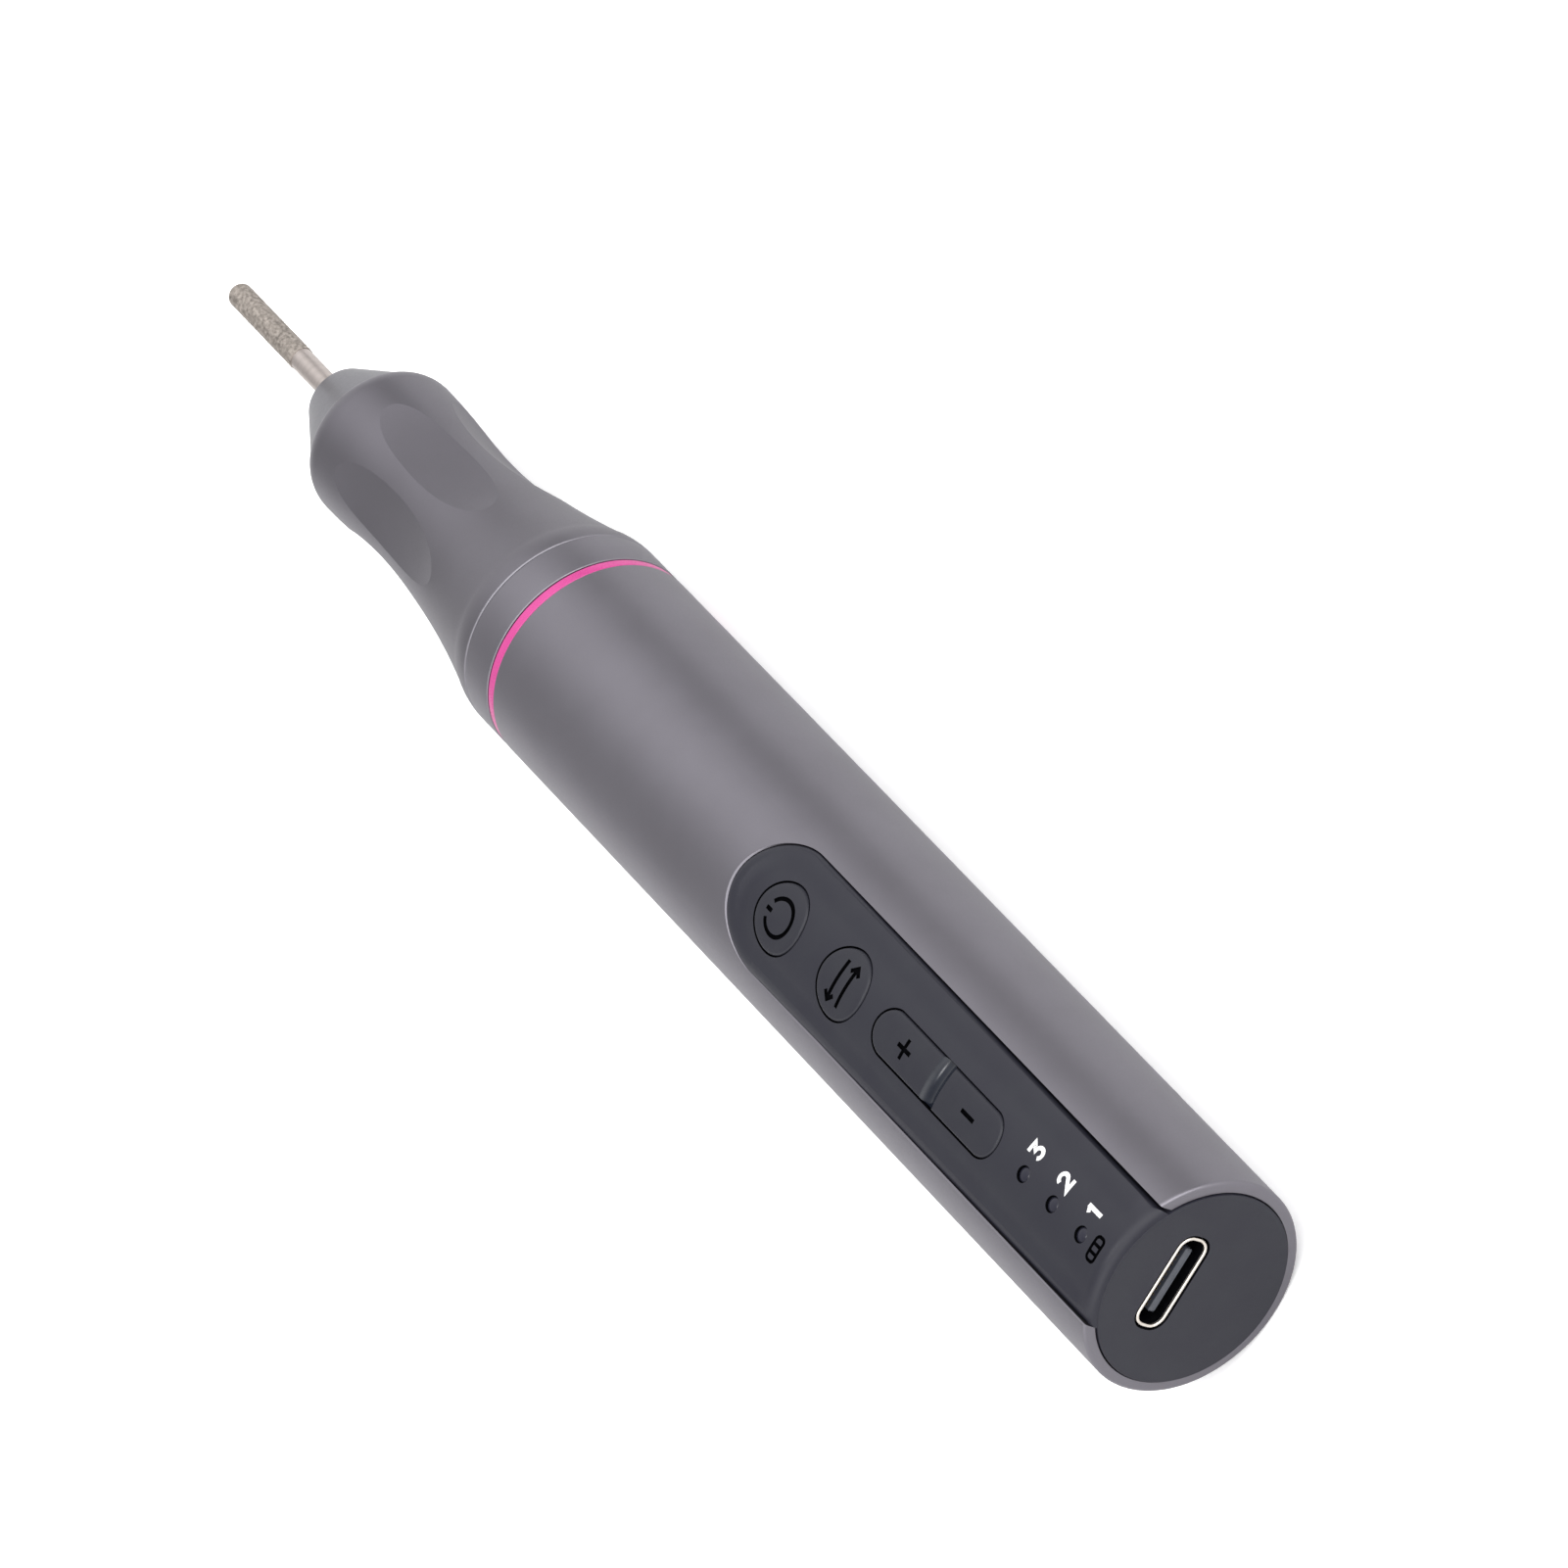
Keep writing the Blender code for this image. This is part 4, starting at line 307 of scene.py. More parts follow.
# Collet and its nut, seen once the nose is off
NUT_EDGE = 0.12 * MM
NUT_BORE_RADIUS = 3.05 * MM
NUT_MOUTH_RADIUS = 2.1 * MM
NUT_LIP = 0.6 * MM
NUT_FLAT_LENGTH = 2.4 * MM
NUT_FLAT_SETBACK = 0.45 * MM
KNURL_COUNT = 40
KNURL_SIDES = 8 * KNURL_COUNT
KNURL_DEPTH = 0.08 * MM

# Camera: the place and turn that the pen's outline in the photograph gives
CAMERA_PLACE = (-0.848228, -0.314044, 0.837025)
CAMERA_TURN = (17.9992, 44.4103, -134.8419)
SENSOR_WIDTH = 36.0
LENS_LENGTH = 329.818
NEAREST_SEEN = 0.01

# Studio: each light's turn and rise in degrees, its strength and how narrow it is
FLOOR_SIZE = 6.0
FLOOR_TONE = 0.7
FLOOR_SEEN_TONE = 1.3
SOFT_LIGHTS = (
    (90, 12, 1.4, 5),
    (225, 50, 2.9, 5),
    (315, 50, 0.93, 5),
    (0, 12, 0.9, 5),
    (90, 85, 12.0, 200),
    (236, 14, 6.0, 60),
    (140, 36, 2.4, 12),
)

# Finishes: the two tones that a surface drifts between, its least and greatest roughness, how
# metallic it is, and the sizes of its patches, grain and relief in millimetres
FINISHES = {
    "anodised_aluminium": ((0.218, 0.208, 0.234), (0.232, 0.222, 0.25), (0.38, 0.46), 1, 6, 0.11, 0.0016),
    # A darker copy of the tube's anodising: painted shade over the whole grip
    "grip": ((0.188, 0.179, 0.201), (0.2, 0.191, 0.215), (0.38, 0.46), 1, 6, 0.11, 0.0016),
    # Lighter tone for the rounded rear edges: painted highlight along the seams
    "edge_painted_highlight": ((0.24, 0.23, 0.256), (0.27, 0.26, 0.288), (0.38, 0.46), 1, 2, 0.08, 0.001),
    "nose_aluminium": ((0.19, 0.186, 0.206), (0.205, 0.201, 0.222), (0.34, 0.42), 1, 3, 0.1, 0.0016),
    "accent_pink": ((0.545, 0.05, 0.245), (0.59, 0.06, 0.275), (0.24, 0.34), 0.1, 3, 0.1, 0.001),
    "panel_plastic": ((0.0175, 0.0172, 0.0265), (0.02, 0.0205, 0.029), (0.36, 0.46), 0, 3.5, 0.09, 0.002),
    "key_plastic": ((0.017, 0.017, 0.0255), (0.0205, 0.021, 0.0285), (0.36, 0.46), 0, 2.5, 0.09, 0.002),
    "black_plastic": ((0.012, 0.012, 0.014), (0.02, 0.02, 0.022), (0.35, 0.5), 0, 1.5, 0.08, 0.002),
    "white_plastic": ((0.7, 0.7, 0.66), (0.78, 0.78, 0.74), (0.35, 0.5), 0, 2, 0.1, 0.002),
    "clear_plastic": ((0.018, 0.018, 0.03), (0.022, 0.022, 0.034), (0.16, 0.24), 0, 0.8, 0.1, 0.001),
    "cradle_plastic": ((0.04, 0.04, 0.043), (0.06, 0.06, 0.063), (0.5, 0.65), 0, 3, 0.12, 0.004),
    "board": ((0.012, 0.13, 0.055), (0.02, 0.2, 0.09), (0.3, 0.45), 0, 1.2, 0.2, 0.006),
    "steel": ((0.58, 0.56, 0.54), (0.66, 0.64, 0.62), (0.2, 0.34), 1, 2, 0.08, 0.0015),
    "zinc_plate": ((0.46, 0.47, 0.5), (0.55, 0.56, 0.58), (0.3, 0.44), 1, 2.5, 0.1, 0.002),
    "nickel": ((0.58, 0.57, 0.52), (0.66, 0.65, 0.6), (0.26, 0.38), 1, 2, 0.1, 0.0015),
    "diamond_plate": ((0.2, 0.178, 0.158), (0.5, 0.447, 0.405), (0.4, 0.7), 0.75, 0.36, 0.1, 0.02),
    "brass": ((0.6, 0.43, 0.17), (0.72, 0.54, 0.25), (0.24, 0.36), 1, 2, 0.09, 0.0015),
    "copper": ((0.62, 0.26, 0.13), (0.78, 0.38, 0.22), (0.25, 0.4), 1, 0.6, 0.18, 0.02),
    "ferrite": ((0.035, 0.035, 0.04), (0.06, 0.06, 0.065), (0.55, 0.75), 0, 1, 0.15, 0.006),
    "cell_wrap": ((0.03, 0.1, 0.36), (0.045, 0.14, 0.46), (0.22, 0.34), 0, 5, 0.4, 0.008),
    "damper_rubber": ((0.018, 0.018, 0.019), (0.03, 0.03, 0.031), (0.7, 0.88), 0, 2, 0.15, 0.008),
    "lead_red": ((0.42, 0.02, 0.02), (0.55, 0.035, 0.03), (0.34, 0.46), 0, 1.5, 0.1, 0.003),
    "lead_black": ((0.012, 0.012, 0.013), (0.022, 0.022, 0.023), (0.34, 0.46), 0, 1.5, 0.1, 0.003),
    # Near-black, dull and without shine: painted shade on the walls of openings, gaps and pressed marks
    "recess_painted_shade": ((0.002, 0.002, 0.0025), (0.004, 0.004, 0.005), (0.9, 1.0), 0, 0.5, 0.06, 0.002),
    # Glossier and darker than the key: the gloss is the surface's own, the darker tone is painted shade in
    # the valley
    "valley": ((0.01, 0.012, 0.02), (0.015, 0.018, 0.027), (0.12, 0.18), 0, 0.8, 0.08, 0.001),
    "print": ((0.8, 0.8, 0.8), (0.9, 0.9, 0.9), (0.45, 0.6), 0, 0.4, 0.06, 0.001),
    "socket_rim": ((0.8, 0.74, 0.67), (0.9, 0.84, 0.77), (0.24, 0.36), 1, 0.8, 0.08, 0.001),
    "tongue": ((0.045, 0.05, 0.064), (0.06, 0.066, 0.082), (0.3, 0.42), 0, 0.8, 0.08, 0.001),
    "gold": ((0.82, 0.6, 0.25), (0.9, 0.68, 0.32), (0.2, 0.3), 1, 0.6, 0.06, 0.001),
    "shank": ((0.49, 0.44, 0.415), (0.57, 0.51, 0.485), (0.3, 0.42), 0.95, 0.8, 0.08, 0.002),
}

# Finishes that are drawn out along or across the pen, and those that shine less than most
STRETCHES = {
    "nose_aluminium": (1.6, 0.35, 0.35),
    "board": (0.4, 1.6, 1),
    "steel": (2.5, 0.4, 0.4),
    "brass": (2.5, 0.4, 0.4),
    "copper": (0.2, 1, 1),
    "shank": (2.5, 0.5, 0.5),
}
SHINES = {"panel_plastic": 0.36, "key_plastic": 0.36, "clear_plastic": 0.36, "recess_painted_shade": 0.0, "valley": 0.4}
PLAIN_SHINE = 0.5
NOISE_LOW = 0.3
NOISE_HIGH = 0.7
PATCH_DETAIL = 5
GRAIN_DETAIL = 3


# Meshes

def loft(loops, ring=False):
    """Skin successive loops of points; a ring closes on itself, else its ends are capped."""
    bm = bmesh.new()
    rows = [[bm.verts.new(point) for point in loop] for loop in loops]
    pairs = list(zip(rows, rows[1:]))
    if ring:
        pairs.append((rows[-1], rows[0]))
    for first, second in pairs:
        for index, here in enumerate(first):
            after = index - 1
            bm.faces.new((first[after], here, second[index], second[after]))
    if not ring:
        bm.faces.new(rows[0])
        bm.faces.new(rows[-1])
    bmesh.ops.recalc_face_normals(bm, faces=bm.faces)
    return bm


def arc(centre, radius, start, end, steps):
    """Points on an arc from one angle to another."""
    points = []
    for step in range(steps + 1):
        angle = start + (end - start) * step / steps
        points.append((centre[0] + radius * math.cos(angle), centre[1] + radius * math.sin(angle)))
    return points


def rear_round(start, radius, size):
    """Rounded rear edge of a turned outline."""
    return arc((start + size, radius - size), size, math.pi, math.pi / 2, CORNER_STEPS)


def front_round(end, radius, size):
    """Rounded front edge of a turned outline."""
    return arc((end - size, radius - size), size, math.pi / 2, 0, CORNER_STEPS)


def turned(outline, ring=True, sides=TURN_SIDES, relief=None):
    """Turn an (along, radius) outline round the pen's axis; relief adds to the radius."""
    loops = []
    for along, radius in outline:
        loop = []
        for side in range(sides):
            angle = math.tau * side / sides
            here = radius + (relief(along, angle) if relief else 0)
            loop.append((along, here * math.sin(angle), here * math.cos(angle)))
        loops.append(loop)
    return loft(loops, ring)


def shares(steps):
    """Even shares of a whole, up to the whole itself."""
    return [step / steps for step in range(1, steps + 1)]


def smooth_step(share):
    """Smooth rise from 0 to 1, held at both ends."""
    share = min(1, max(0, share))
    return share * share * (3 - 2 * share)


def circle(middle, radius):
    """Circle on the panel, as (along, across) points."""
    return arc((middle, 0), radius, 0, math.tau, HOLE_SIDES)[:-1]


def stadium(middle, half_length, half_width):
    """Stadium with its straight sides along the pen."""
    reach = half_length - half_width
    half_turn = HOLE_SIDES // 2
    front = arc((middle + reach, 0), half_width, -math.pi / 2, math.pi / 2, half_turn)
    rear = arc((middle - reach, 0), half_width, math.pi / 2, 3 * math.pi / 2, half_turn)
    return front + rear


def tongue(rear, front, half_width):
    """Outline with a square rear end and a round front end."""
    rounded = arc((front - half_width, 0), half_width, -math.pi / 2, math.pi / 2, HOLE_SIDES)
    return [(rear, -half_width)] + rounded + [(rear, half_width)]


def leaning_tongue(front, half_width, growth):
    """Tongue that grows at its front and near side, and by only a share of that at its far side."""
    widening = growth * (1 + FAR_EDGE_SHARE) / 2
    lean = growth * (1 - FAR_EDGE_SHARE) / 2
    outline = tongue(-OVERRUN, front + growth, half_width + widening)
    return [(along, across + lean) for along, across in outline]


def level(points, height):
    """Lay (along, across) points flat at one height."""
    return [(along, across, height) for along, across in points]


def drape(points, radius):
    """Drop (along, across) points straight on to a cylinder round the pen's axis."""
    return [(along, across, math.sqrt(radius**2 - across**2)) for along, across in points]


def opening(outline, surface, edge):
    """Solid that cuts a hole with a broken edge through one side of a round wall."""
    spread = edge + OVERRUN
    return loft([
        level(outline(0), 0),
        drape(outline(0), surface - edge),
        drape(outline(spread), surface + OVERRUN),
        level(outline(spread), surface + 2 * OVERRUN),
    ])


def fine(path):
    """Add points along a path, so that a stroke on it follows the panel's curve."""
    points = [path[0]]
    for start, end in zip(path, path[1:]):
        steps = math.ceil(math.dist(start, end) / PATH_STEP)
        for step in range(1, steps + 1):
            points.append(tuple(Vector(start).lerp(Vector(end), step / steps)))
    return points


def stroke(path, width, low, high):
    """Band along a path on the panel, between two radii; a path back to its start gives a ring."""
    closed = path[0] == path[-1]
    points = [Vector(point) for point in fine(path)]
    if closed:
        points.pop()
    last = len(points) - 1
    loops = []
    for index, here in enumerate(points):
        behind = here - points[index - 1] if closed or index > 0 else points[1] - here
        ahead = points[(index + 1) % len(points)] - here if closed or index < last else behind
        ahead.normalize()
        middle = (ahead + behind.normalized()).normalized()
        reach = width / 2 / middle.dot(ahead)
        side = Vector((-middle.y, middle.x)) * reach
        edges = [tuple(here + side), tuple(here - side)]
        loops.append(drape(edges, high) + drape(edges[::-1], low))
    return loft(loops, ring=closed)


def press(item, path, width, surface):
    """Press one stroke into a round surface; its walls are painted near-black as shade."""
    combine(item, stroke(path, width, surface - MARK_DEPTH, surface + OVERRUN), finish="recess_painted_shade")


def box(rear, front, left, right, low, high):
    """Rectangular solid between stations, sides and heights."""
    base = [(rear, left), (front, left), (front, right), (rear, right)]
    return loft([level(base, low), level(base, high)])


def merged(parts):
    """Put several meshes in one."""
    whole = bmesh.new()
    for part in parts:
        mesh = bpy.data.meshes.new("part")
        part.to_mesh(mesh)
        whole.from_mesh(mesh)
        bpy.data.meshes.remove(mesh)
        part.free()
    return whole


# Pieces

def add_object(name, data):
    """Add an object to the scene."""
    item = bpy.data.objects.new(name, data)
    bpy.context.collection.objects.link(item)
    return item


def finish_name(material):
    """Name of a material without the number that Blender may have added."""
    return material.name.split(".")[0]


def solid(name, bm, finish):
    """Turn a mesh into an object in the pen's own axes, with a finish given by name."""
    mesh = bpy.data.meshes.new(name)
    bm.to_mesh(mesh)
    bm.free()
    mesh.materials.append(finishes[finish])
    return add_object(name, mesh)


def combine(target, bm, operation="DIFFERENCE", finish=None):
    """Apply one Boolean step; a cut with a finish of its own keeps it on its walls."""
    helper = solid("helper", bm, finish or finish_name(target.data.materials[0]))
    step = target.modifiers.new("step", "BOOLEAN")
    step.operation = operation
    step.object = helper
    step.solver = "MANIFOLD"
    step.material_mode = "TRANSFER"
    graph = bpy.context.evaluated_depsgraph_get()
    shaped = bpy.data.meshes.new_from_object(target.evaluated_get(graph))
    target.modifiers.clear()
    plain = target.data
    target.data = shaped
    bpy.data.meshes.remove(plain)
    bpy.data.meshes.remove(helper.data)


def paint_edge_highlight(item, start, size):
    """Give the rounded rear edge of the collar or the grip a lighter tone, a painted highlight along the
    seam.
    """
    item.data.materials.append(finishes["edge_painted_highlight"])
    for face in item.data.polygons:
        along, across, height = face.center
        if start < along < start + size and math.hypot(across, height) > COLLAR_RADIUS - size:
            face.material_index = len(item.data.materials) - 1


def place(item, body, *nodes, slot, sharp=SHARP_ANGLE):
    """Smooth a finished piece, put it in the model's place and let it ride on its body."""
    item.data.transform(PEN_PLACE)
    item.data.shade_smooth()
    item.data.set_sharp_from_angle(angle=sharp)
    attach(item, body)
    if nodes:
        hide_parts(*nodes)


# Finishes

def add_node(tree, kind, values, operation=None):
    """Add a shader node, with its operation and some of its sockets set."""
    node = tree.nodes.new(f"ShaderNode{kind}")
    if operation:
        node.operation = operation
    for socket, value in values.items():
        node.inputs[socket].default_value = value
    return node


def connect(tree, *wires):
    """Link sockets; each wire names a node, its output, the next node and its input."""
    for start, output, end, socket in wires:
        tree.links.new(start.outputs[output], end.inputs[socket])


def skin(name, dark, pale, gloss, metallic, mottle, grain, relief):
    """Finish whose tone drifts in patches and whose gloss and relief follow a fine grain."""
    material = bpy.data.materials.new(name)
    material.use_nodes = True
    tree = material.node_tree
    shader = tree.nodes["Principled BSDF"]
    shader.inputs["Metallic"].default_value = metallic
    shader.inputs["Specular IOR Level"].default_value = SHINES.get(name, PLAIN_SHINE)
    origin = add_node(tree, "TexCoord", {})
    spread = add_node(tree, "Mapping", {"Scale": STRETCHES.get(name, (1, 1, 1))})
    patches = add_node(tree, "TexNoise", {"Scale": 1 / (mottle * MM), "Detail": PATCH_DETAIL})
    speckle = add_node(tree, "TexNoise", {"Scale": 1 / (grain * MM), "Detail": GRAIN_DETAIL})
    tone = add_node(tree, "ValToRGB", {})
    steps = tone.color_ramp.elements
    for step, position, colour in zip(steps, (NOISE_LOW, NOISE_HIGH), (dark, pale)):
        step.position = position
        step.color = (*colour, 1)
    sheen = add_node(tree, "MapRange", {
        "From Min": NOISE_LOW, "From Max": NOISE_HIGH, "To Min": gloss[0], "To Max": gloss[1],
    })
    bump = add_node(tree, "Bump", {"Distance": relief * MM})
    connect(
        tree,
        (origin, "Object", spread, "Vector"),
        (spread, "Vector", patches, "Vector"),
        (spread, "Vector", speckle, "Vector"),
        (patches, "Fac", tone, "Fac"),
        (speckle, "Fac", sheen, "Value"),
        (speckle, "Fac", bump, "Height"),
        (tone, "Color", shader, "Base Color"),
        (sheen, "Result", shader, "Roughness"),
        (bump, "Normal", shader, "Normal"),
    )
    return material


# Body tube

def make_body_tube():
    """Drawn tube with a rounded tail rim and the panel's slot, its edges broken."""
    start = rear_of("body_tube")
    end = front_of("body_tube")
    outline = [(start + TUBE_EDGE, TUBE_BORE_RADIUS), (start, TUBE_BORE_RADIUS + TUBE_EDGE)]
    outline += rear_round(start, TUBE_RADIUS, TUBE_RIM_ROUND)
    outline += [(end - TUBE_EDGE, TUBE_RADIUS), (end, TUBE_RADIUS - TUBE_EDGE), (end, TUBE_BORE_RADIUS)]
    tube = solid("slotted_tube", turned(outline), "anodised_aluminium")

    def slot_outline(offset):
        outline = leaning_tongue(SLOT_FRONT, SLOT_HALF_WIDTH, offset)
        return [(along, across + SLOT_SHIFT) for along, across in outline]

    combine(tube, opening(slot_outline, TUBE_RADIUS, SLOT_EDGE))
    place(tube, "housing", "body_tube", slot="anodised_aluminium")


# Control panel and tail cap

def socket_loop(offset, along):
    """Outline of the charging socket, stood up at a station."""
    width, height = 2 * (SOCKET_HALF_WIDTH + offset), 2 * (SOCKET_HALF_HEIGHT + offset)
    points = rounded_plate(0, 0, width, height, SOCKET_CORNER + offset)
    return [(along, across, rise + SOCKET_RISE) for across, rise in points]


def cup_outline():
    """Panel and cap as one turned cup, with its rings close together where edges are lifted."""
    outline = rear_round(0, PANEL_RADIUS, PANEL_TAIL_ROUND)
    rough_front = PANEL_FRONT + OVERRUN
    tail_stretch = (PANEL_TAIL_ROUND, PANEL_TAIL_ROUND + PANEL_LIFT_REACH)
    front_stretch = (PANEL_FRONT - PANEL_HALF_WIDTH, rough_front)
    for start, end in (tail_stretch, front_stretch):
        steps = round((end - start) / PANEL_LIFT_STEP)
        for step in range(1, steps + 1):
            outline.append((start + (end - start) * step / steps, PANEL_RADIUS))
    return outline + [(rough_front, PANEL_INNER_RADIUS), (CAP_WALL, PANEL_INNER_RADIUS)]


def bar_loops():
    """Upright bar with rounded upper edges, to which the cup is cut down."""
    def bar_outline(width):
        return leaning_tongue(PANEL_FRONT, PANEL_HALF_WIDTH, -width)

    loops = [level(bar_outline(0), 0)]
    for share, rise in arc((1, 0), 1, math.pi, PANEL_EDGE_END, 2 * CORNER_STEPS):
        outline = bar_outline(share * PANEL_EDGE_WIDTH)
        loops.append(drape(outline, PANEL_RADIUS - (1 - rise) * PANEL_EDGE_DROP))
    top = bar_outline(PANEL_EDGE_WIDTH)
    loops.append(drape(top, PANEL_RADIUS + OVERRUN))
    loops.append(level(top, PANEL_RADIUS + 2 * OVERRUN))
    return loops


def guide_lip():
    """Ledge inside the tube that runs round the panel, as a mesh."""
    start, front = CAP_WALL / 2, PANEL_FRONT + LIP_REACH
    end = front + OVERRUN
    ring = [(start, LIP_INNER_RADIUS), (start, LIP_RADIUS), (end, LIP_RADIUS), (end, LIP_INNER_RADIUS)]
    lip = solid("guide_lip", turned(ring), "panel_plastic")
    outline = tongue(0, front, PANEL_HALF_WIDTH + LIP_REACH)
    block = loft([level(outline, height_of("control_board", 0)), level(outline, TUBE_RADIUS)])
    combine(lip, block, "INTERSECT")
    mesh = bmesh.new()
    mesh.from_mesh(lip.data)
    bpy.data.meshes.remove(lip.data)
    return mesh


def panel_shell():
    """Curved panel that rounds over into the tail cap, with its skirt and guide lip."""
    panel = solid("panel_and_cap", turned(cup_outline(), ring=False), "panel_plastic")
    combine(panel, loft(bar_loops()), "INTERSECT")
    lift_edges(panel)
    plug = rear_round(0, CAP_RADIUS, CAP_EDGE)
    plug += [(SKIRT_LENGTH, CAP_RADIUS), (SKIRT_LENGTH, SKIRT_RADIUS), (CAP_WALL, SKIRT_RADIUS)]
    combine(panel, turned(plug, ring=False), "UNION")
    combine(panel, guide_lip(), "UNION")
    return panel


def lift_edges(panel):
    """Raise the panel towards its edges, so that they lie flush with the tube."""
    round_end = PANEL_FRONT - PANEL_HALF_WIDTH
    lowest = PANEL_RADIUS - PANEL_EDGE_DROP - PANEL_LIFT_MARGIN
    for vertex in panel.data.vertices:
        along, across, height = vertex.co
        radius = math.hypot(across, height)
        if radius < lowest:
            continue
        inset = PANEL_HALF_WIDTH - math.hypot(max(0, along - round_end), across)
        near_edge = smooth_step(1 - inset / PANEL_LIFT_REACH)
        past_tail = smooth_step((along - PANEL_LIFT_START) / PANEL_LIFT_REACH)
        rise = 1 + PANEL_LIFT * (near_edge * past_tail) / radius
        vertex.co = (along, across * rise, height * rise)


def make_control_panel():
    """The panel with its openings, and the battery sign beside the first light."""
    panel = panel_shell()

    def rocker_outline(offset):
        return stadium(
            ROCKER_STATION, ROCKER_HALF_LENGTH + KEY_GAP + offset, ROCKER_HALF_WIDTH + KEY_GAP + offset
        )

    cutters = [opening(rocker_outline, PANEL_RADIUS, OPENING_EDGE)]
    holes = [("direction_key", KEY_HOLE_RADIUS), ("power_key", KEY_HOLE_RADIUS)]
    holes += [(light, LENS_HOLE_RADIUS) for light in LIGHT_NODES]
    for node, radius in holes:
        def hole_outline(offset):
            return circle(middle_of(node), radius + offset)

        cutters.append(opening(hole_outline, PANEL_RADIUS, OPENING_EDGE))
    cutters.append(loft([
        socket_loop(MOUTH_GAP + MOUTH_EDGE + OVERRUN, -OVERRUN),
        socket_loop(MOUTH_GAP, MOUTH_EDGE),
        socket_loop(MOUTH_GAP, CAP_WALL + OVERRUN),
    ]))
    # The walls of all these openings are painted near-black: painted shade in the gaps round the keys,
    # lights and socket
    combine(panel, merged(cutters), finish="recess_painted_shade")
    # The battery sign's strokes are pressed in with painted shade on their walls
    for path in battery_sign():
        press(panel, path, CELL_SIGN_STROKE, PANEL_RADIUS)
    place(panel, "housing", "control_panel", slot="panel_plastic")


def battery_sign():
    """Upright cell with two bars across it."""
    half_length, half_width = CELL_SIGN_HALF_LENGTH, CELL_SIGN_HALF_WIDTH
    case = rounded_plate(CELL_SIGN_STATION, 0, 2 * half_length, 2 * half_width, CELL_SIGN_CORNER)
    paths = [case + case[:1]]
    for side in (-1, 1):
        across = side * CELL_SIGN_WALL
        paths.append([(CELL_SIGN_STATION - half_length, across), (CELL_SIGN_STATION + half_length, across)])
    return paths


def rounded_plate(along, across, length, width, corner):
    """Rectangle with rounded corners, as (along, across) points."""
    points = []
    reach = length / 2 - corner
    side = width / 2 - corner
    for quarter, (along_sign, across_sign) in enumerate(((1, 1), (-1, 1), (-1, -1), (1, -1))):
        centre = (along + along_sign * reach, across + across_sign * side)
        start = quarter * math.pi / 2
        points += arc(centre, corner, start, start + math.pi / 2, CORNER_STEPS)
    return points


def digit_arc(centre, shares):
    """Arc of a digit between two shares of half a turn."""
    start, end = (math.pi * share for share in shares)
    return arc(centre, DIGIT_ARC_RADIUS, start, end, 2 * CORNER_STEPS)


def digit_paths():
    """Strokes of 1, 2 and 3."""
    two = digit_arc(TWO_CENTRE, TWO_ARC) + TWO_FOOT
    three = THREE_TOP + digit_arc(THREE_CENTRE, THREE_ARC)
    return [ONE_STEM, ONE_FLAG], [two], [three]


def make_digits():
    """Printed 1, 2 and 3 beside the lights, read with the nose up."""
    low, high = PANEL_RADIUS - PAINT_THICKNESS, PANEL_RADIUS + PAINT_THICKNESS
    parts = []
    for light, paths in zip(LIGHT_NODES, digit_paths()):
        station = middle_of(light) + DIGIT_SHIFT
        for path in paths:
            laid = [(station + up * MM, -DIGIT_OFFSET - right * MM) for right, up in path]
            parts.append(stroke(laid, DIGIT_STROKE, low, high))
    digits = solid("printed_digits", merged(parts), "print")
    place(digits, "housing", slot="white_plastic")


# Keys and rocker

def crowned(outline, half_width, loops):
    """Close a stack of loops with a rounded edge and a top that follows the panel's curve."""
    for step in range(CORNER_STEPS + 1):
        angle = math.pi / 2 * step / CORNER_STEPS
        inset = KEY_EDGE * (1 - math.cos(angle))
        drop = KEY_EDGE * (1 - math.sin(angle))
        loops.append(drape(outline(-inset), CROWN_RADIUS - drop))
    for step in range(1, CROWN_STEPS):
        inset = KEY_EDGE + (half_width - KEY_EDGE) * step / CROWN_STEPS
        loops.append(drape(outline(-inset), CROWN_RADIUS))
    return loft(loops)


def power_sign(station):
    """Open ring with a short bar in its gap, which faces the nose."""
    ring = arc((station, 0), POWER_RING_RADIUS, POWER_GAP, math.tau - POWER_GAP, HOLE_SIDES)
    return [ring, [(station + reach, 0) for reach in POWER_BAR]]


def direction_sign(station):
    """Two arrows that point opposite ways across the pen."""
    paths = []
    for side in (-1, 1):
        along = station + side * ARROW_SPREAD / 2
        tip = side * ARROW_HALF_LENGTH
        barb = tip - side * ARROW_HEAD
        paths.append([(along, -tip), (along, tip - side * MARK_STROKE / 2)])
        paths.append([(along - ARROW_HEAD, barb), (along, tip), (along + ARROW_HEAD, barb)])
    return paths


def make_round_key(node, body, signs):
    """Round key with its lip and plunger, a rounded crown and a pressed sign."""
    station = middle_of(node)
    bottom = height_of(node, 0)
    lip_radius = KEY_RADIUS + KEY_LIP_REACH
    lip_top = math.sqrt(LIP_INNER_RADIUS**2 - lip_radius**2) - SEAT_GAP
    lip_bottom = lip_top - KEY_LIP_THICKNESS
    steps = (
        (KEY_PLUNGER_RADIUS, bottom), (KEY_PLUNGER_RADIUS, lip_bottom),
        (lip_radius, lip_bottom), (lip_radius, lip_top), (KEY_RADIUS, lip_top),
    )
    loops = [level(circle(station, radius), height) for radius, height in steps]

    def outline(offset):
        return circle(station, KEY_RADIUS + offset)

    cap = crowned(outline, KEY_RADIUS, loops)
    key = solid(f"{node}_cap", cap, "key_plastic")
    for path in signs(station):
        press(key, path, MARK_STROKE, CROWN_RADIUS)
    place(key, body, node, slot="key_plastic")


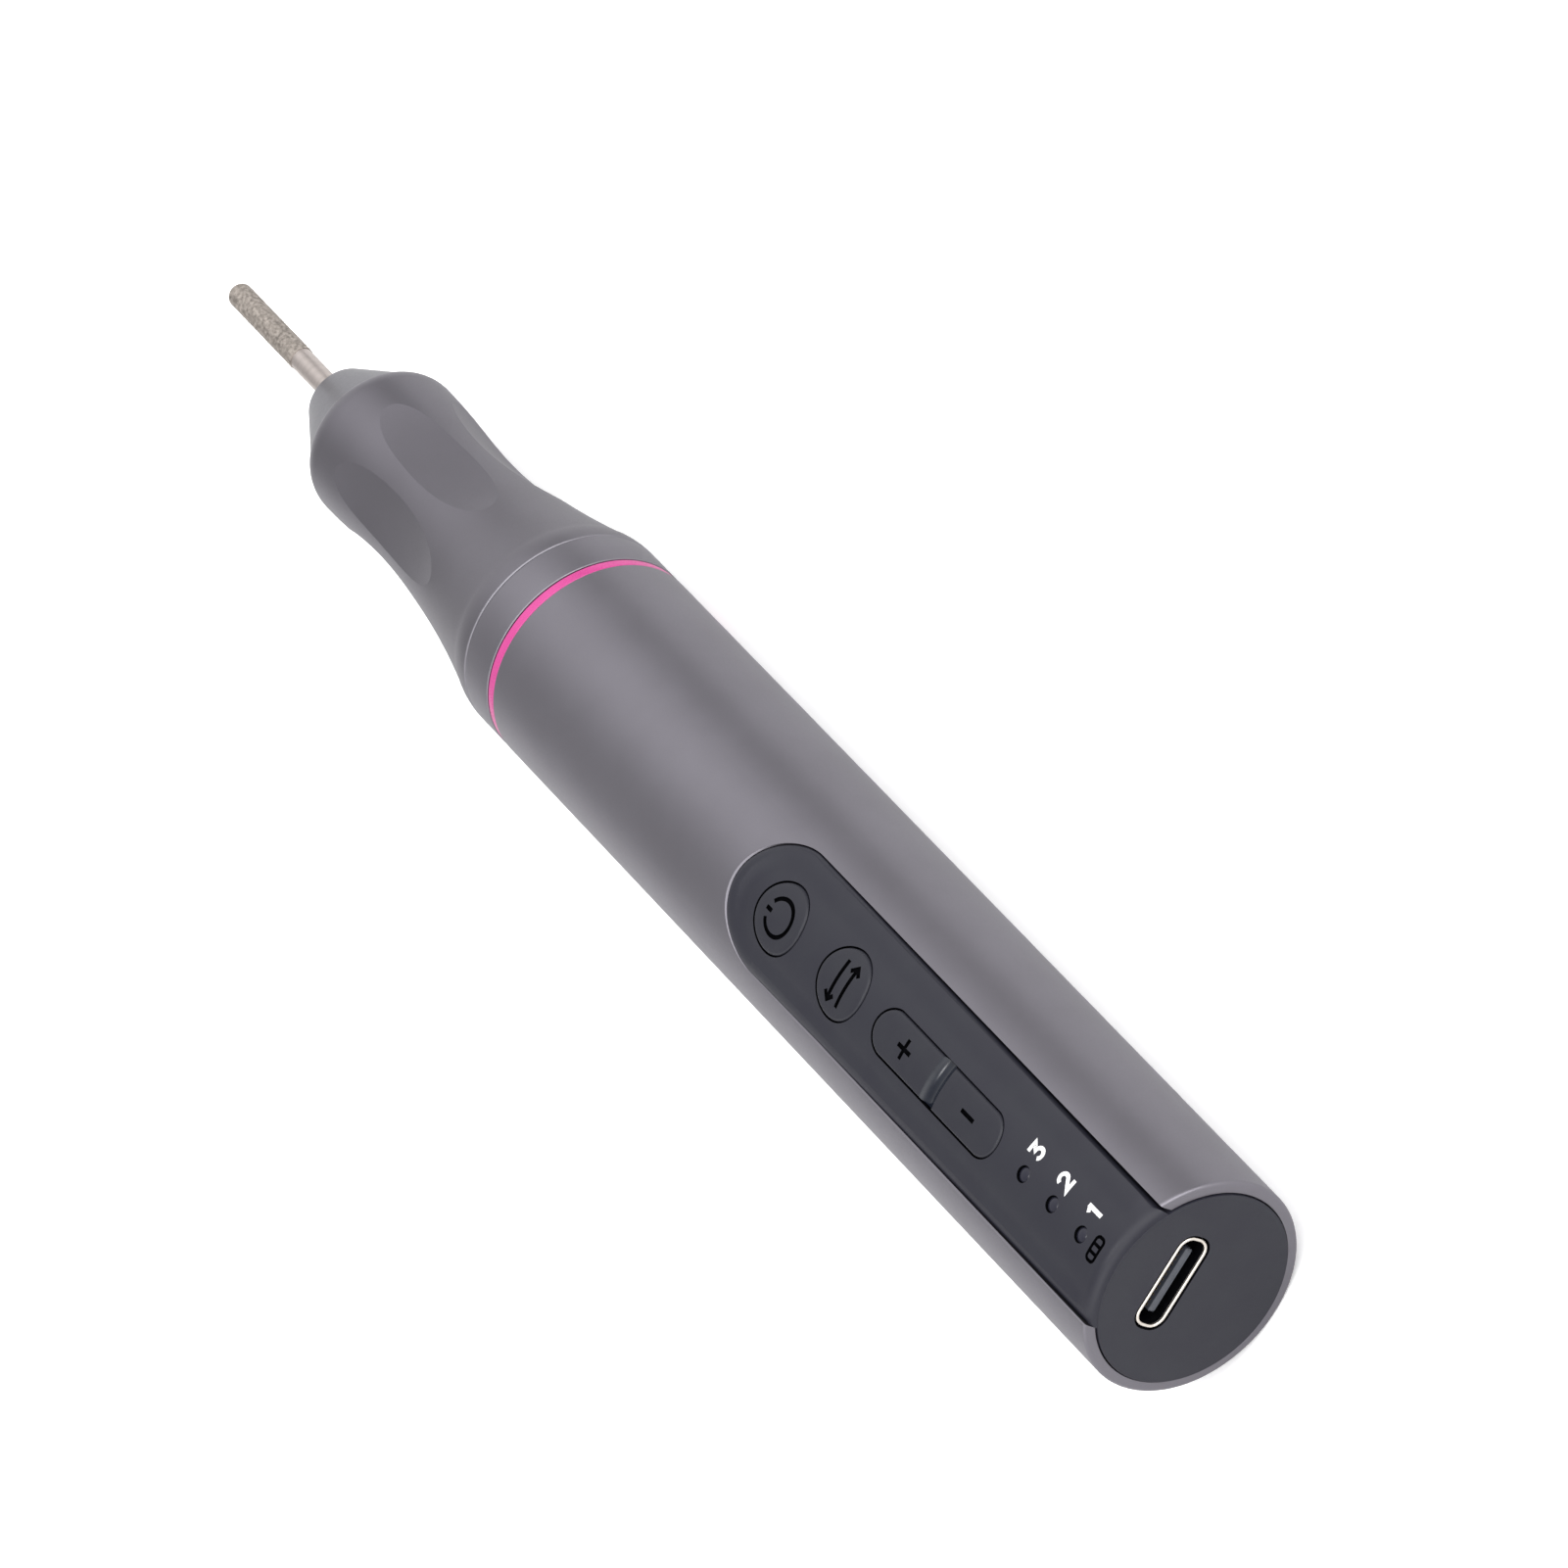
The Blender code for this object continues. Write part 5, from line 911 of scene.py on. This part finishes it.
def speed_signs():
    """Plus near the rocker's front end and minus near its rear end."""
    plus, minus = ROCKER_STATION + SIGN_OFFSET, ROCKER_STATION - SIGN_OFFSET
    return [
        [(plus - SIGN_HALF_SIZE, 0), (plus + SIGN_HALF_SIZE, 0)],
        [(plus, -SIGN_HALF_SIZE), (plus, SIGN_HALF_SIZE)],
        [(minus - SIGN_HALF_SIZE, 0), (minus + SIGN_HALF_SIZE, 0)],
    ]


def valley():
    """Cutter for the rocker's valley, which follows the crown across the pen."""
    cutter_radius = (VALLEY_HALF_WIDTH**2 + VALLEY_DEPTH**2) / (2 * VALLEY_DEPTH)
    sweep = math.asin(VALLEY_HALF_WIDTH / cutter_radius)
    centre = (ROCKER_STATION, cutter_radius - VALLEY_DEPTH)
    bowl = arc(centre, cutter_radius, DOWN - sweep, DOWN + sweep, CURVE_STEPS)
    slope = math.tan(sweep)
    section = [(ROCKER_STATION - VALLEY_HALF_WIDTH - OVERRUN / slope, OVERRUN)] + bowl
    section.append((ROCKER_STATION + VALLEY_HALF_WIDTH + OVERRUN / slope, OVERRUN))
    side = ROCKER_HALF_WIDTH + OVERRUN
    loops = []
    for step in range(CURVE_STEPS + 1):
        across = side * (2 * step / CURVE_STEPS - 1)
        crown = math.sqrt(CROWN_RADIUS**2 - across**2)
        loops.append([(along, across, crown + rise) for along, rise in section])
    return loft(loops)


def make_speed_rocker():
    """Long rocker on its hub, with a valley over the pin and pressed plus and minus signs."""
    lip_half_length = ROCKER_HALF_LENGTH + KEY_LIP_REACH
    lip_half_width = ROCKER_HALF_WIDTH + KEY_LIP_REACH
    tilt_rise = lip_half_length * math.sin(ROCKER_TILT)
    lip_top = math.sqrt(LIP_INNER_RADIUS**2 - lip_half_width**2) - SEAT_GAP - tilt_rise
    lip_bottom = lip_top - KEY_LIP_THICKNESS

    def outline(offset):
        return stadium(ROCKER_STATION, ROCKER_HALF_LENGTH + offset, ROCKER_HALF_WIDTH + offset)

    loops = [
        level(outline(KEY_LIP_REACH), lip_bottom),
        level(outline(KEY_LIP_REACH), lip_top),
        level(outline(0), lip_top),
    ]
    cap = crowned(outline, ROCKER_HALF_WIDTH, loops)
    rocker = solid("speed_rocker_cap", cap, "key_plastic")
    hub = box(
        ROCKER_STATION - ROCKER_HUB_HALF_LENGTH, ROCKER_STATION + ROCKER_HUB_HALF_LENGTH,
        -ROCKER_HALF_WIDTH - FIT_GAP, ROCKER_HALF_WIDTH + FIT_GAP,
        PIVOT_RISE - ROCKER_HUB_DEPTH, (lip_bottom + lip_top) / 2,
    )
    combine(rocker, hub, "UNION")
    for switch in ("slower_switch", "faster_switch"):
        station = middle_of(switch)
        bottom = height_of("direction_switch", 1) + abs(station - ROCKER_STATION) * math.sin(ROCKER_TILT)
        foot = circle(station, KEY_PLUNGER_RADIUS)
        plunger = loft([level(foot, bottom + SEAM_GAP), level(foot, (lip_bottom + lip_top) / 2)])
        combine(rocker, plunger, "UNION")
    # The valley's walls take the darker valley finish, painted shade in the hollow
    combine(rocker, valley(), finish="valley")
    side = ROCKER_HALF_WIDTH + OVERRUN
    bore = arc((ROCKER_STATION, PIVOT_RISE), PIVOT_BORE_RADIUS, 0, math.tau, HOLE_SIDES)[:-1]
    combine(rocker, loft([[(x, across, z) for x, z in bore] for across in (-side, side)]))
    for path in speed_signs():
        press(rocker, path, MARK_STROKE, CROWN_RADIUS)
    place(rocker, "speed_button", "speed_rocker", slot="key_plastic")


# Lights and charging socket

def make_light_lenses():
    """Light pipe with a domed lens in each of the panel's light holes."""
    foot = height_of("indicator_led_1", 1) + SEAT_GAP
    half_width = radius_of("light_pipe")
    high = math.sqrt(SKIRT_RADIUS**2 - half_width**2) - SEAT_GAP
    low = high - LIGHT_PIPE_THICKNESS
    bar = box(rear_of("light_pipe"), front_of("light_pipe"), -half_width, half_width, low, high)
    pipe = solid("light_lenses", bar, "clear_plastic")
    brim = PANEL_RADIUS - LENS_SETBACK - LENS_DOME
    for light in LIGHT_NODES:
        station = middle_of(light)
        loops = [level(circle(station, LENS_RADIUS), height) for height in (foot, brim)]
        for step in range(1, CORNER_STEPS):
            angle = math.pi / 2 * step / CORNER_STEPS
            rise = LENS_DOME * math.sin(angle)
            loops.append(level(circle(station, LENS_RADIUS * math.cos(angle)), brim + rise))
        combine(pipe, loft(loops), "UNION")
    place(pipe, "housing", "light_pipe", slot="clear_plastic")


def make_socket_shell():
    """Pressed shell with a rounded mouth, and a near-black sheet inside it that is painted shade in the
    socket's depth.
    """
    depth = SOCKET_END - SOCKET_BACK
    bead = SOCKET_WALL / 2
    rim = arc((SOCKET_START + bead, bead), bead, DOWN, 3 * DOWN, CORNER_STEPS)[1:]
    loops = [socket_loop(0, SOCKET_END), socket_loop(0, SOCKET_START + bead)]
    loops += [socket_loop(-inset, along) for along, inset in rim]
    loops.append(socket_loop(-SOCKET_WALL, depth))
    shell = solid("socket_rim", loft(loops), "socket_rim")
    place(shell, "housing", "socket_shell", slot="steel")

    # A near-black sheet inside the shell: painted shade, not a part of the real socket
    shade_start = SOCKET_START + SOCKET_SHADE_SHEET_SETBACK
    inside = -SOCKET_WALL - SOCKET_SHADE_SHEET
    sides = ((-SOCKET_WALL, shade_start), (-SOCKET_WALL, depth), (inside, depth), (inside, shade_start))
    shade_sheet = loft([socket_loop(offset, along) for offset, along in sides], ring=True)
    place(solid("socket_shade_sheet", shade_sheet, "recess_painted_shade"), "housing", slot="black_plastic")


def make_socket_tongue():
    """Tongue with a bevelled tip, and a row of contacts on each of its faces."""
    loops = []
    for along, inset in ((TONGUE_START, TONGUE_TIP), (TONGUE_START + TONGUE_TIP, 0), (TONGUE_END, 0)):
        width, height = 2 * (TONGUE_HALF_WIDTH - inset), 2 * (TONGUE_HALF_HEIGHT - inset)
        plate = rounded_plate(0, 0, width, height, TONGUE_CORNER)
        loops.append([(along, across, rise + TONGUE_RISE) for across, rise in plate])
    core = solid("socket_tongue_core", loft(loops), "tongue")
    place(core, "housing", "socket_tongue", slot="black_plastic")

    strips = []
    for row in (-1, 1):
        surface = TONGUE_RISE + row * TONGUE_HALF_HEIGHT
        heights = sorted((surface, surface + row * CONTACT_THICKNESS))
        for index in range(CONTACT_COUNT):
            across = CONTACT_PITCH * (index - (CONTACT_COUNT - 1) / 2)
            strips.append(box(
                TONGUE_START + CONTACT_SETBACK, TONGUE_END - OVERRUN,
                across - CONTACT_WIDTH / 2, across + CONTACT_WIDTH / 2, *heights,
            ))
    contacts = solid("socket_contacts", merged(strips), "gold")
    place(contacts, "housing", slot="brass")


# Ring, collar, grip and nose

def make_accent_ring():
    """Coloured ring with rounded outer edges."""
    start, end = front_of("body_tube") + HAIR_GAP, RING_FRONT
    inner = PLUG_RADIUS + SEAM_GAP
    outline = [(start, inner)] + rear_round(start, RING_RADIUS, RING_EDGE)
    outline += front_round(end, RING_RADIUS, RING_EDGE) + [(end, inner)]
    ring = solid("pink_ring", turned(outline), "accent_pink")
    place(ring, "housing", "accent_ring", slot="accent_pink")


def make_collar():
    """Collar with a spigot each way and two rounded rims."""
    spigot_start, spigot_end = rear_of("coupling_collar"), front_of("coupling_collar")
    start, end = RING_FRONT + HAIR_GAP, GRIP_START - HAIR_GAP
    outline = [(spigot_start, COLLAR_BORE_RADIUS), (spigot_start, PLUG_RADIUS), (start, PLUG_RADIUS)]
    outline += rear_round(start, COLLAR_RADIUS, COLLAR_EDGE)
    outline += front_round(end, COLLAR_RADIUS, COLLAR_EDGE)
    outline += [
        (end, COLLAR_FRONT_SPIGOT_RADIUS),
        (spigot_end, COLLAR_FRONT_SPIGOT_RADIUS),
        (spigot_end, COLLAR_BORE_RADIUS),
    ]
    collar = solid("collar_band", turned(outline), "anodised_aluminium")
    paint_edge_highlight(collar, start, COLLAR_EDGE)
    place(collar, "housing", "coupling_collar", slot="anodised_aluminium")


def grip_profile():
    """Chamfer, shoulder, flare, waist, swell and rounded front of the grip."""
    points = rear_round(GRIP_START, COLLAR_RADIUS, GRIP_REAR_EDGE)
    drop = COLLAR_RADIUS - GRIP_SHOULDER_RADIUS
    for share in shares(2 * CORNER_STEPS):
        points.append((GRIP_START + GRIP_SHOULDER_LENGTH * share, COLLAR_RADIUS - drop * share**2))
    flare_start = GRIP_START + GRIP_SHOULDER_LENGTH
    flare_rise = GRIP_SHOULDER_RADIUS - GRIP_WAIST_RADIUS
    for share in shares(CURVE_STEPS):
        along = flare_start + (GRIP_WAIST_STATION - flare_start) * share
        points.append((along, GRIP_WAIST_RADIUS + flare_rise * (1 - share) ** GRIP_FLARE_POWER))
    swell = GRIP_BULGE_RADIUS - GRIP_WAIST_RADIUS
    for share in shares(CURVE_STEPS):
        along = GRIP_WAIST_STATION + (GRIP_BULGE_STATION - GRIP_WAIST_STATION) * share
        points.append((along, GRIP_WAIST_RADIUS + swell * (1 - math.cos(math.pi * share)) / 2))
    front_drop = GRIP_BULGE_RADIUS - GRIP_FRONT_RADIUS
    front_run = GRIP_END - GRIP_BULGE_STATION
    radius = (front_drop**2 + front_run**2) / (2 * front_drop)
    sweep = math.asin(front_run / radius)
    centre = (GRIP_BULGE_STATION, GRIP_BULGE_RADIUS - radius)
    points += arc(centre, radius, math.pi / 2, math.pi / 2 - sweep, 2 * CORNER_STEPS)[1:]
    return points


def scallop_cutters():
    """Large cylinders lying across the waist, one for each scallop."""
    floor = GRIP_WAIST_RADIUS - SCALLOP_DEPTH
    sweep = math.acos(1 - (COLLAR_RADIUS - floor) / SCALLOP_CUTTER_RADIUS)
    centre = (GRIP_WAIST_STATION - SCALLOP_SETBACK, floor + SCALLOP_CUTTER_RADIUS)
    section = arc(centre, SCALLOP_CUTTER_RADIUS, DOWN - sweep, DOWN + sweep, SCALLOP_STEPS)
    top = COLLAR_RADIUS + OVERRUN
    section += [(section[-1][0], top), (section[0][0], top)]
    sides = (-SCALLOP_WIDTH / 2, SCALLOP_WIDTH / 2)
    cutters = []
    for index in range(SCALLOP_COUNT):
        cutter = loft([[(x, across, z) for x, z in section] for across in sides])
        turn = Matrix.Rotation(SCALLOP_TURN + math.tau * index / SCALLOP_COUNT, 4, "X")
        bmesh.ops.transform(cutter, matrix=turn, verts=cutter.verts)
        cutters.append(cutter)
    return cutters


def make_grip():
    """Waisted grip with six milled finger scallops and a stepped bore."""
    front_bore = GRIP_END - GRIP_FRONT_BORE_DEPTH
    rear_bore = COLLAR_FRONT_SPIGOT_RADIUS + SEAM_GAP
    outline = grip_profile() + [
        (GRIP_END, GRIP_FRONT_BORE_RADIUS), (front_bore, GRIP_FRONT_BORE_RADIUS),
        (front_bore, SEAT_RADIUS), (FRONT_SEAT_START, SEAT_RADIUS),
        (FRONT_SEAT_START, CORE_RADIUS), (REAR_SEAT_END, CORE_RADIUS),
        (REAR_SEAT_END, SEAT_RADIUS), (REAR_SEAT_START, SEAT_RADIUS),
        (REAR_SEAT_START, rear_bore), (GRIP_START, rear_bore),
    ]
    # The grip takes the darker copy of the anodising, painted shade
    grip = solid("waisted_grip", turned(outline), "grip")
    for cutter in scallop_cutters():
        combine(grip, cutter)
    paint_edge_highlight(grip, GRIP_START, GRIP_REAR_EDGE)
    place(grip, "housing", "grip_sleeve", slot="anodised_aluminium", sharp=CRISP_ANGLE)


def thread(along, angle):
    """Relief of the spigot's thread, which fades out at both ends."""
    if not THREAD_START <= along <= THREAD_END:
        return 0
    turns = (along - THREAD_START) / THREAD_PITCH - angle / math.tau
    fade = min(1, (along - THREAD_START) / THREAD_PITCH, (THREAD_END - along) / THREAD_PITCH)
    return -THREAD_DEPTH * fade * (1 - math.cos(math.tau * turns)) / 2


def make_nose():
    """Nose cone with a rounded front, a broken hole edge and a threaded spigot."""
    taper = math.atan(NOSE_SLOPE)
    centre_along = NOSE_END - NOSE_FRONT_ROUND
    cone_there = NOSE_BASE_RADIUS - NOSE_SLOPE * (centre_along - NOSE_START)
    centre = (centre_along, cone_there - NOSE_FRONT_ROUND / math.cos(taper))
    outline = [(NOSE_SPIGOT_START, NOSE_CAVITY_RADIUS)]
    outline.append((NOSE_SPIGOT_START, NOSE_SPIGOT_RADIUS - THREAD_DEPTH))
    rings = round((THREAD_END - THREAD_START) / THREAD_PITCH * THREAD_STEPS)
    for step in range(rings + 1):
        along = THREAD_START + (THREAD_END - THREAD_START) * step / rings
        outline.append((along, NOSE_SPIGOT_RADIUS))
    outline += [
        (NOSE_START, NOSE_SPIGOT_RADIUS),
        (NOSE_START, NOSE_BASE_RADIUS - NOSE_BASE_EDGE),
        (NOSE_START + NOSE_BASE_EDGE, NOSE_BASE_RADIUS - NOSE_BASE_EDGE * NOSE_SLOPE),
    ]
    outline += arc(centre, NOSE_FRONT_ROUND, math.pi / 2 - taper, 0, 2 * CORNER_STEPS)
    outline += [
        (NOSE_END, NOSE_HOLE_RADIUS + NOSE_HOLE_EDGE),
        (NOSE_END - NOSE_HOLE_EDGE, NOSE_HOLE_RADIUS),
        (NOSE_END - NOSE_HOLE_LENGTH, NOSE_HOLE_RADIUS),
        (NOSE_START + NOSE_CAVITY_DEPTH, NOSE_CAVITY_RADIUS),
    ]
    nose = solid("nose_shell", turned(outline, relief=thread), "nose_aluminium")
    place(nose, "nose", "nose_cone", slot="nose_aluminium")


# Burr, collet and nut

def head_radius(along):
    """Radius of the burr's head under its grit, rounded off at the tip."""
    into_tip = along - (BURR_TIP - BURR_TIP_ROUND)
    radius = BURR_HEAD_RADIUS
    if into_tip > 0:
        radius -= BURR_TIP_ROUND - math.sqrt(max(0, BURR_TIP_ROUND**2 - into_tip**2))
    return radius - GRIT_RELIEF / 2


def grit(along, angle):
    """Relief of the diamond grit, which is worn towards the tip."""
    radius = head_radius(along)
    point = Vector((along, radius * math.sin(angle), radius * math.cos(angle))) / GRIT_SIZE
    bite = max(0, 1 - GRIT_SHARPNESS * noise.voronoi(point)[0][0])
    fade = GRIT_TIP_SHARE + (1 - GRIT_TIP_SHARE) * smooth_step((BURR_TIP - along) / GRIT_FADE)
    wave = GRIT_WAVE_SHARE * noise.noise(point * GRIT_WAVE_FINENESS)
    return GRIT_RELIEF * fade * (bite - 0.5 + wave)


def make_burr():
    """Steel shank and neck, and a plated head whose grit stands proud."""
    shank_outline = [
        (BURR_START, BURR_SHANK_RADIUS - NUT_EDGE),
        (BURR_START + NUT_EDGE, BURR_SHANK_RADIUS),
        (BURR_NECK_START - BURR_SHOULDER, BURR_SHANK_RADIUS),
        (BURR_NECK_START, BURR_NECK_RADIUS),
        (BURR_HEAD_START + BURR_SHOULDER, BURR_NECK_RADIUS),
    ]
    shank = solid("burr_shank", turned(shank_outline, False, HEAD_SIDES), "shank")
    place(shank, "burr", "diamond_burr", slot="steel")

    length = BURR_TIP - BURR_HEAD_START
    outline = [(BURR_HEAD_START, BURR_NECK_RADIUS)]
    for step in range(HEAD_RINGS + 1):
        along = BURR_HEAD_START + (length - GRIT_RELIEF) * step / HEAD_RINGS
        outline.append((along, head_radius(along)))
    head = solid("burr_grit", turned(outline, False, HEAD_SIDES, grit), "diamond_plate")
    place(head, "burr", slot="diamond_plate")


def make_collet_nut():
    """Closing nut with a knurled rear half, wrench flats and an inner cone."""
    start, end = rear_of("collet_nut"), front_of("collet_nut")
    radius = radius_of("collet_nut")
    brim = radius - KNURL_DEPTH / 2
    cone_start = front_of("spindle_shaft") + SEAT_GAP
    knurl_end = end - NUT_FLAT_LENGTH - NUT_EDGE
    knurled = []
    for step in range(CORNER_STEPS + 1):
        knurled.append(start + NUT_EDGE + (knurl_end - start - NUT_EDGE) * step / CORNER_STEPS)
    outline = [(start, NUT_BORE_RADIUS), (start, radius - KNURL_DEPTH)]
    outline += [(along, radius) for along in knurled]
    outline += [
        (knurl_end + NUT_EDGE, brim), (end - NUT_LIP, brim), (end, radius - NUT_LIP),
        (end, NUT_MOUTH_RADIUS), (end - NUT_LIP, NUT_MOUTH_RADIUS), (cone_start, NUT_BORE_RADIUS),
    ]

    def knurl(along, angle):
        if along not in knurled:
            return 0
        return -KNURL_DEPTH * abs(math.sin(KNURL_COUNT * angle / 2))

    blank = turned(outline, sides=KNURL_SIDES, relief=knurl)
    nut = solid("closing_nut", blank, "zinc_plate")
    low = radius - NUT_FLAT_SETBACK
    for side in (-1, 1):
        heights = sorted((side * low, side * (radius + OVERRUN)))
        combine(nut, box(end - NUT_FLAT_LENGTH, end + OVERRUN, -radius, radius, *heights))
    place(nut, "spindle", "collet_nut", slot="zinc_plate")


def dress_inner_nodes():
    """Give every node that stays the finish of its material slot."""
    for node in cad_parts.values():
        for holder in node.material_slots:
            holder.material = finishes[finish_name(holder.material)]


# Studio

def make_camera():
    """Long lens that looks down on the tail."""
    data = bpy.data.cameras.new("camera")
    data.sensor_width = SENSOR_WIDTH
    data.lens = LENS_LENGTH
    data.clip_start = NEAREST_SEEN
    camera = add_object("camera", data)
    camera.location = CAMERA_PLACE
    camera.rotation_euler = [math.radians(turn) for turn in CAMERA_TURN]
    bpy.context.scene.camera = camera


def make_floor():
    """White floor, brighter in what the camera sees of it."""
    half = FLOOR_SIZE / 2
    corners = [(-half, -half, 0), (half, -half, 0), (half, half, 0), (-half, half, 0)]
    mesh = bpy.data.meshes.new("floor")
    mesh.from_pydata(corners, [], [(0, 1, 2, 3)])
    material = bpy.data.materials.new("floor_white")
    material.use_nodes = True
    tree = material.node_tree
    shader = tree.nodes["Principled BSDF"]
    shader.inputs["Roughness"].default_value = 1.0
    shader.inputs["Specular IOR Level"].default_value = 0.0
    path = add_node(tree, "LightPath", {})
    tone = add_node(tree, "MapRange", {"To Min": FLOOR_TONE, "To Max": FLOOR_SEEN_TONE})
    connect(tree, (path, "Is Camera Ray", tone, "Value"), (tone, "Result", shader, "Base Color"))
    mesh.materials.append(material)
    add_object("floor", mesh)


def make_light():
    """Soft pale surroundings, brighter in a few broad and a few narrow directions."""
    world = bpy.data.worlds.new("studio")
    world.use_nodes = True
    bpy.context.scene.world = world
    tree = world.node_tree
    background = tree.nodes["Background"]
    background.inputs["Color"].default_value = (1, 1, 1, 1)
    total = (background, "Strength")
    heading = add_node(tree, "TexCoord", {})
    for turn, rise, strength, focus in SOFT_LIGHTS:
        turn, rise = math.radians(turn), math.radians(rise)
        source = (math.cos(rise) * math.cos(turn), math.cos(rise) * math.sin(turn), math.sin(rise))
        facing = add_node(tree, "VectorMath", {1: source}, "DOT_PRODUCT")
        falloff = add_node(tree, "Math", {1: focus, 2: -focus}, "MULTIPLY_ADD")
        glow = add_node(tree, "Math", {}, "EXPONENT")
        share = add_node(tree, "Math", {1: strength, 2: 0}, "MULTIPLY_ADD")
        connect(
            tree,
            (heading, "Generated", facing, 0),
            (facing, "Value", falloff, 0),
            (falloff, "Value", glow, 0),
            (glow, "Value", share, 0),
            (share, "Value", *total),
        )
        total = (share, 2)


make_camera()
make_floor()
make_light()
finishes = {name: skin(name, *looks) for name, looks in FINISHES.items()}
dress_inner_nodes()
make_body_tube()
make_control_panel()
make_digits()
make_round_key("power_key", "power_button", power_sign)
make_round_key("direction_key", "direction_button", direction_sign)
make_speed_rocker()
make_light_lenses()
make_socket_shell()
make_socket_tongue()
make_accent_ring()
make_collar()
make_grip()
make_nose()
make_burr()
make_collet_nut()

bpy.context.scene.view_settings.view_transform = "Standard"
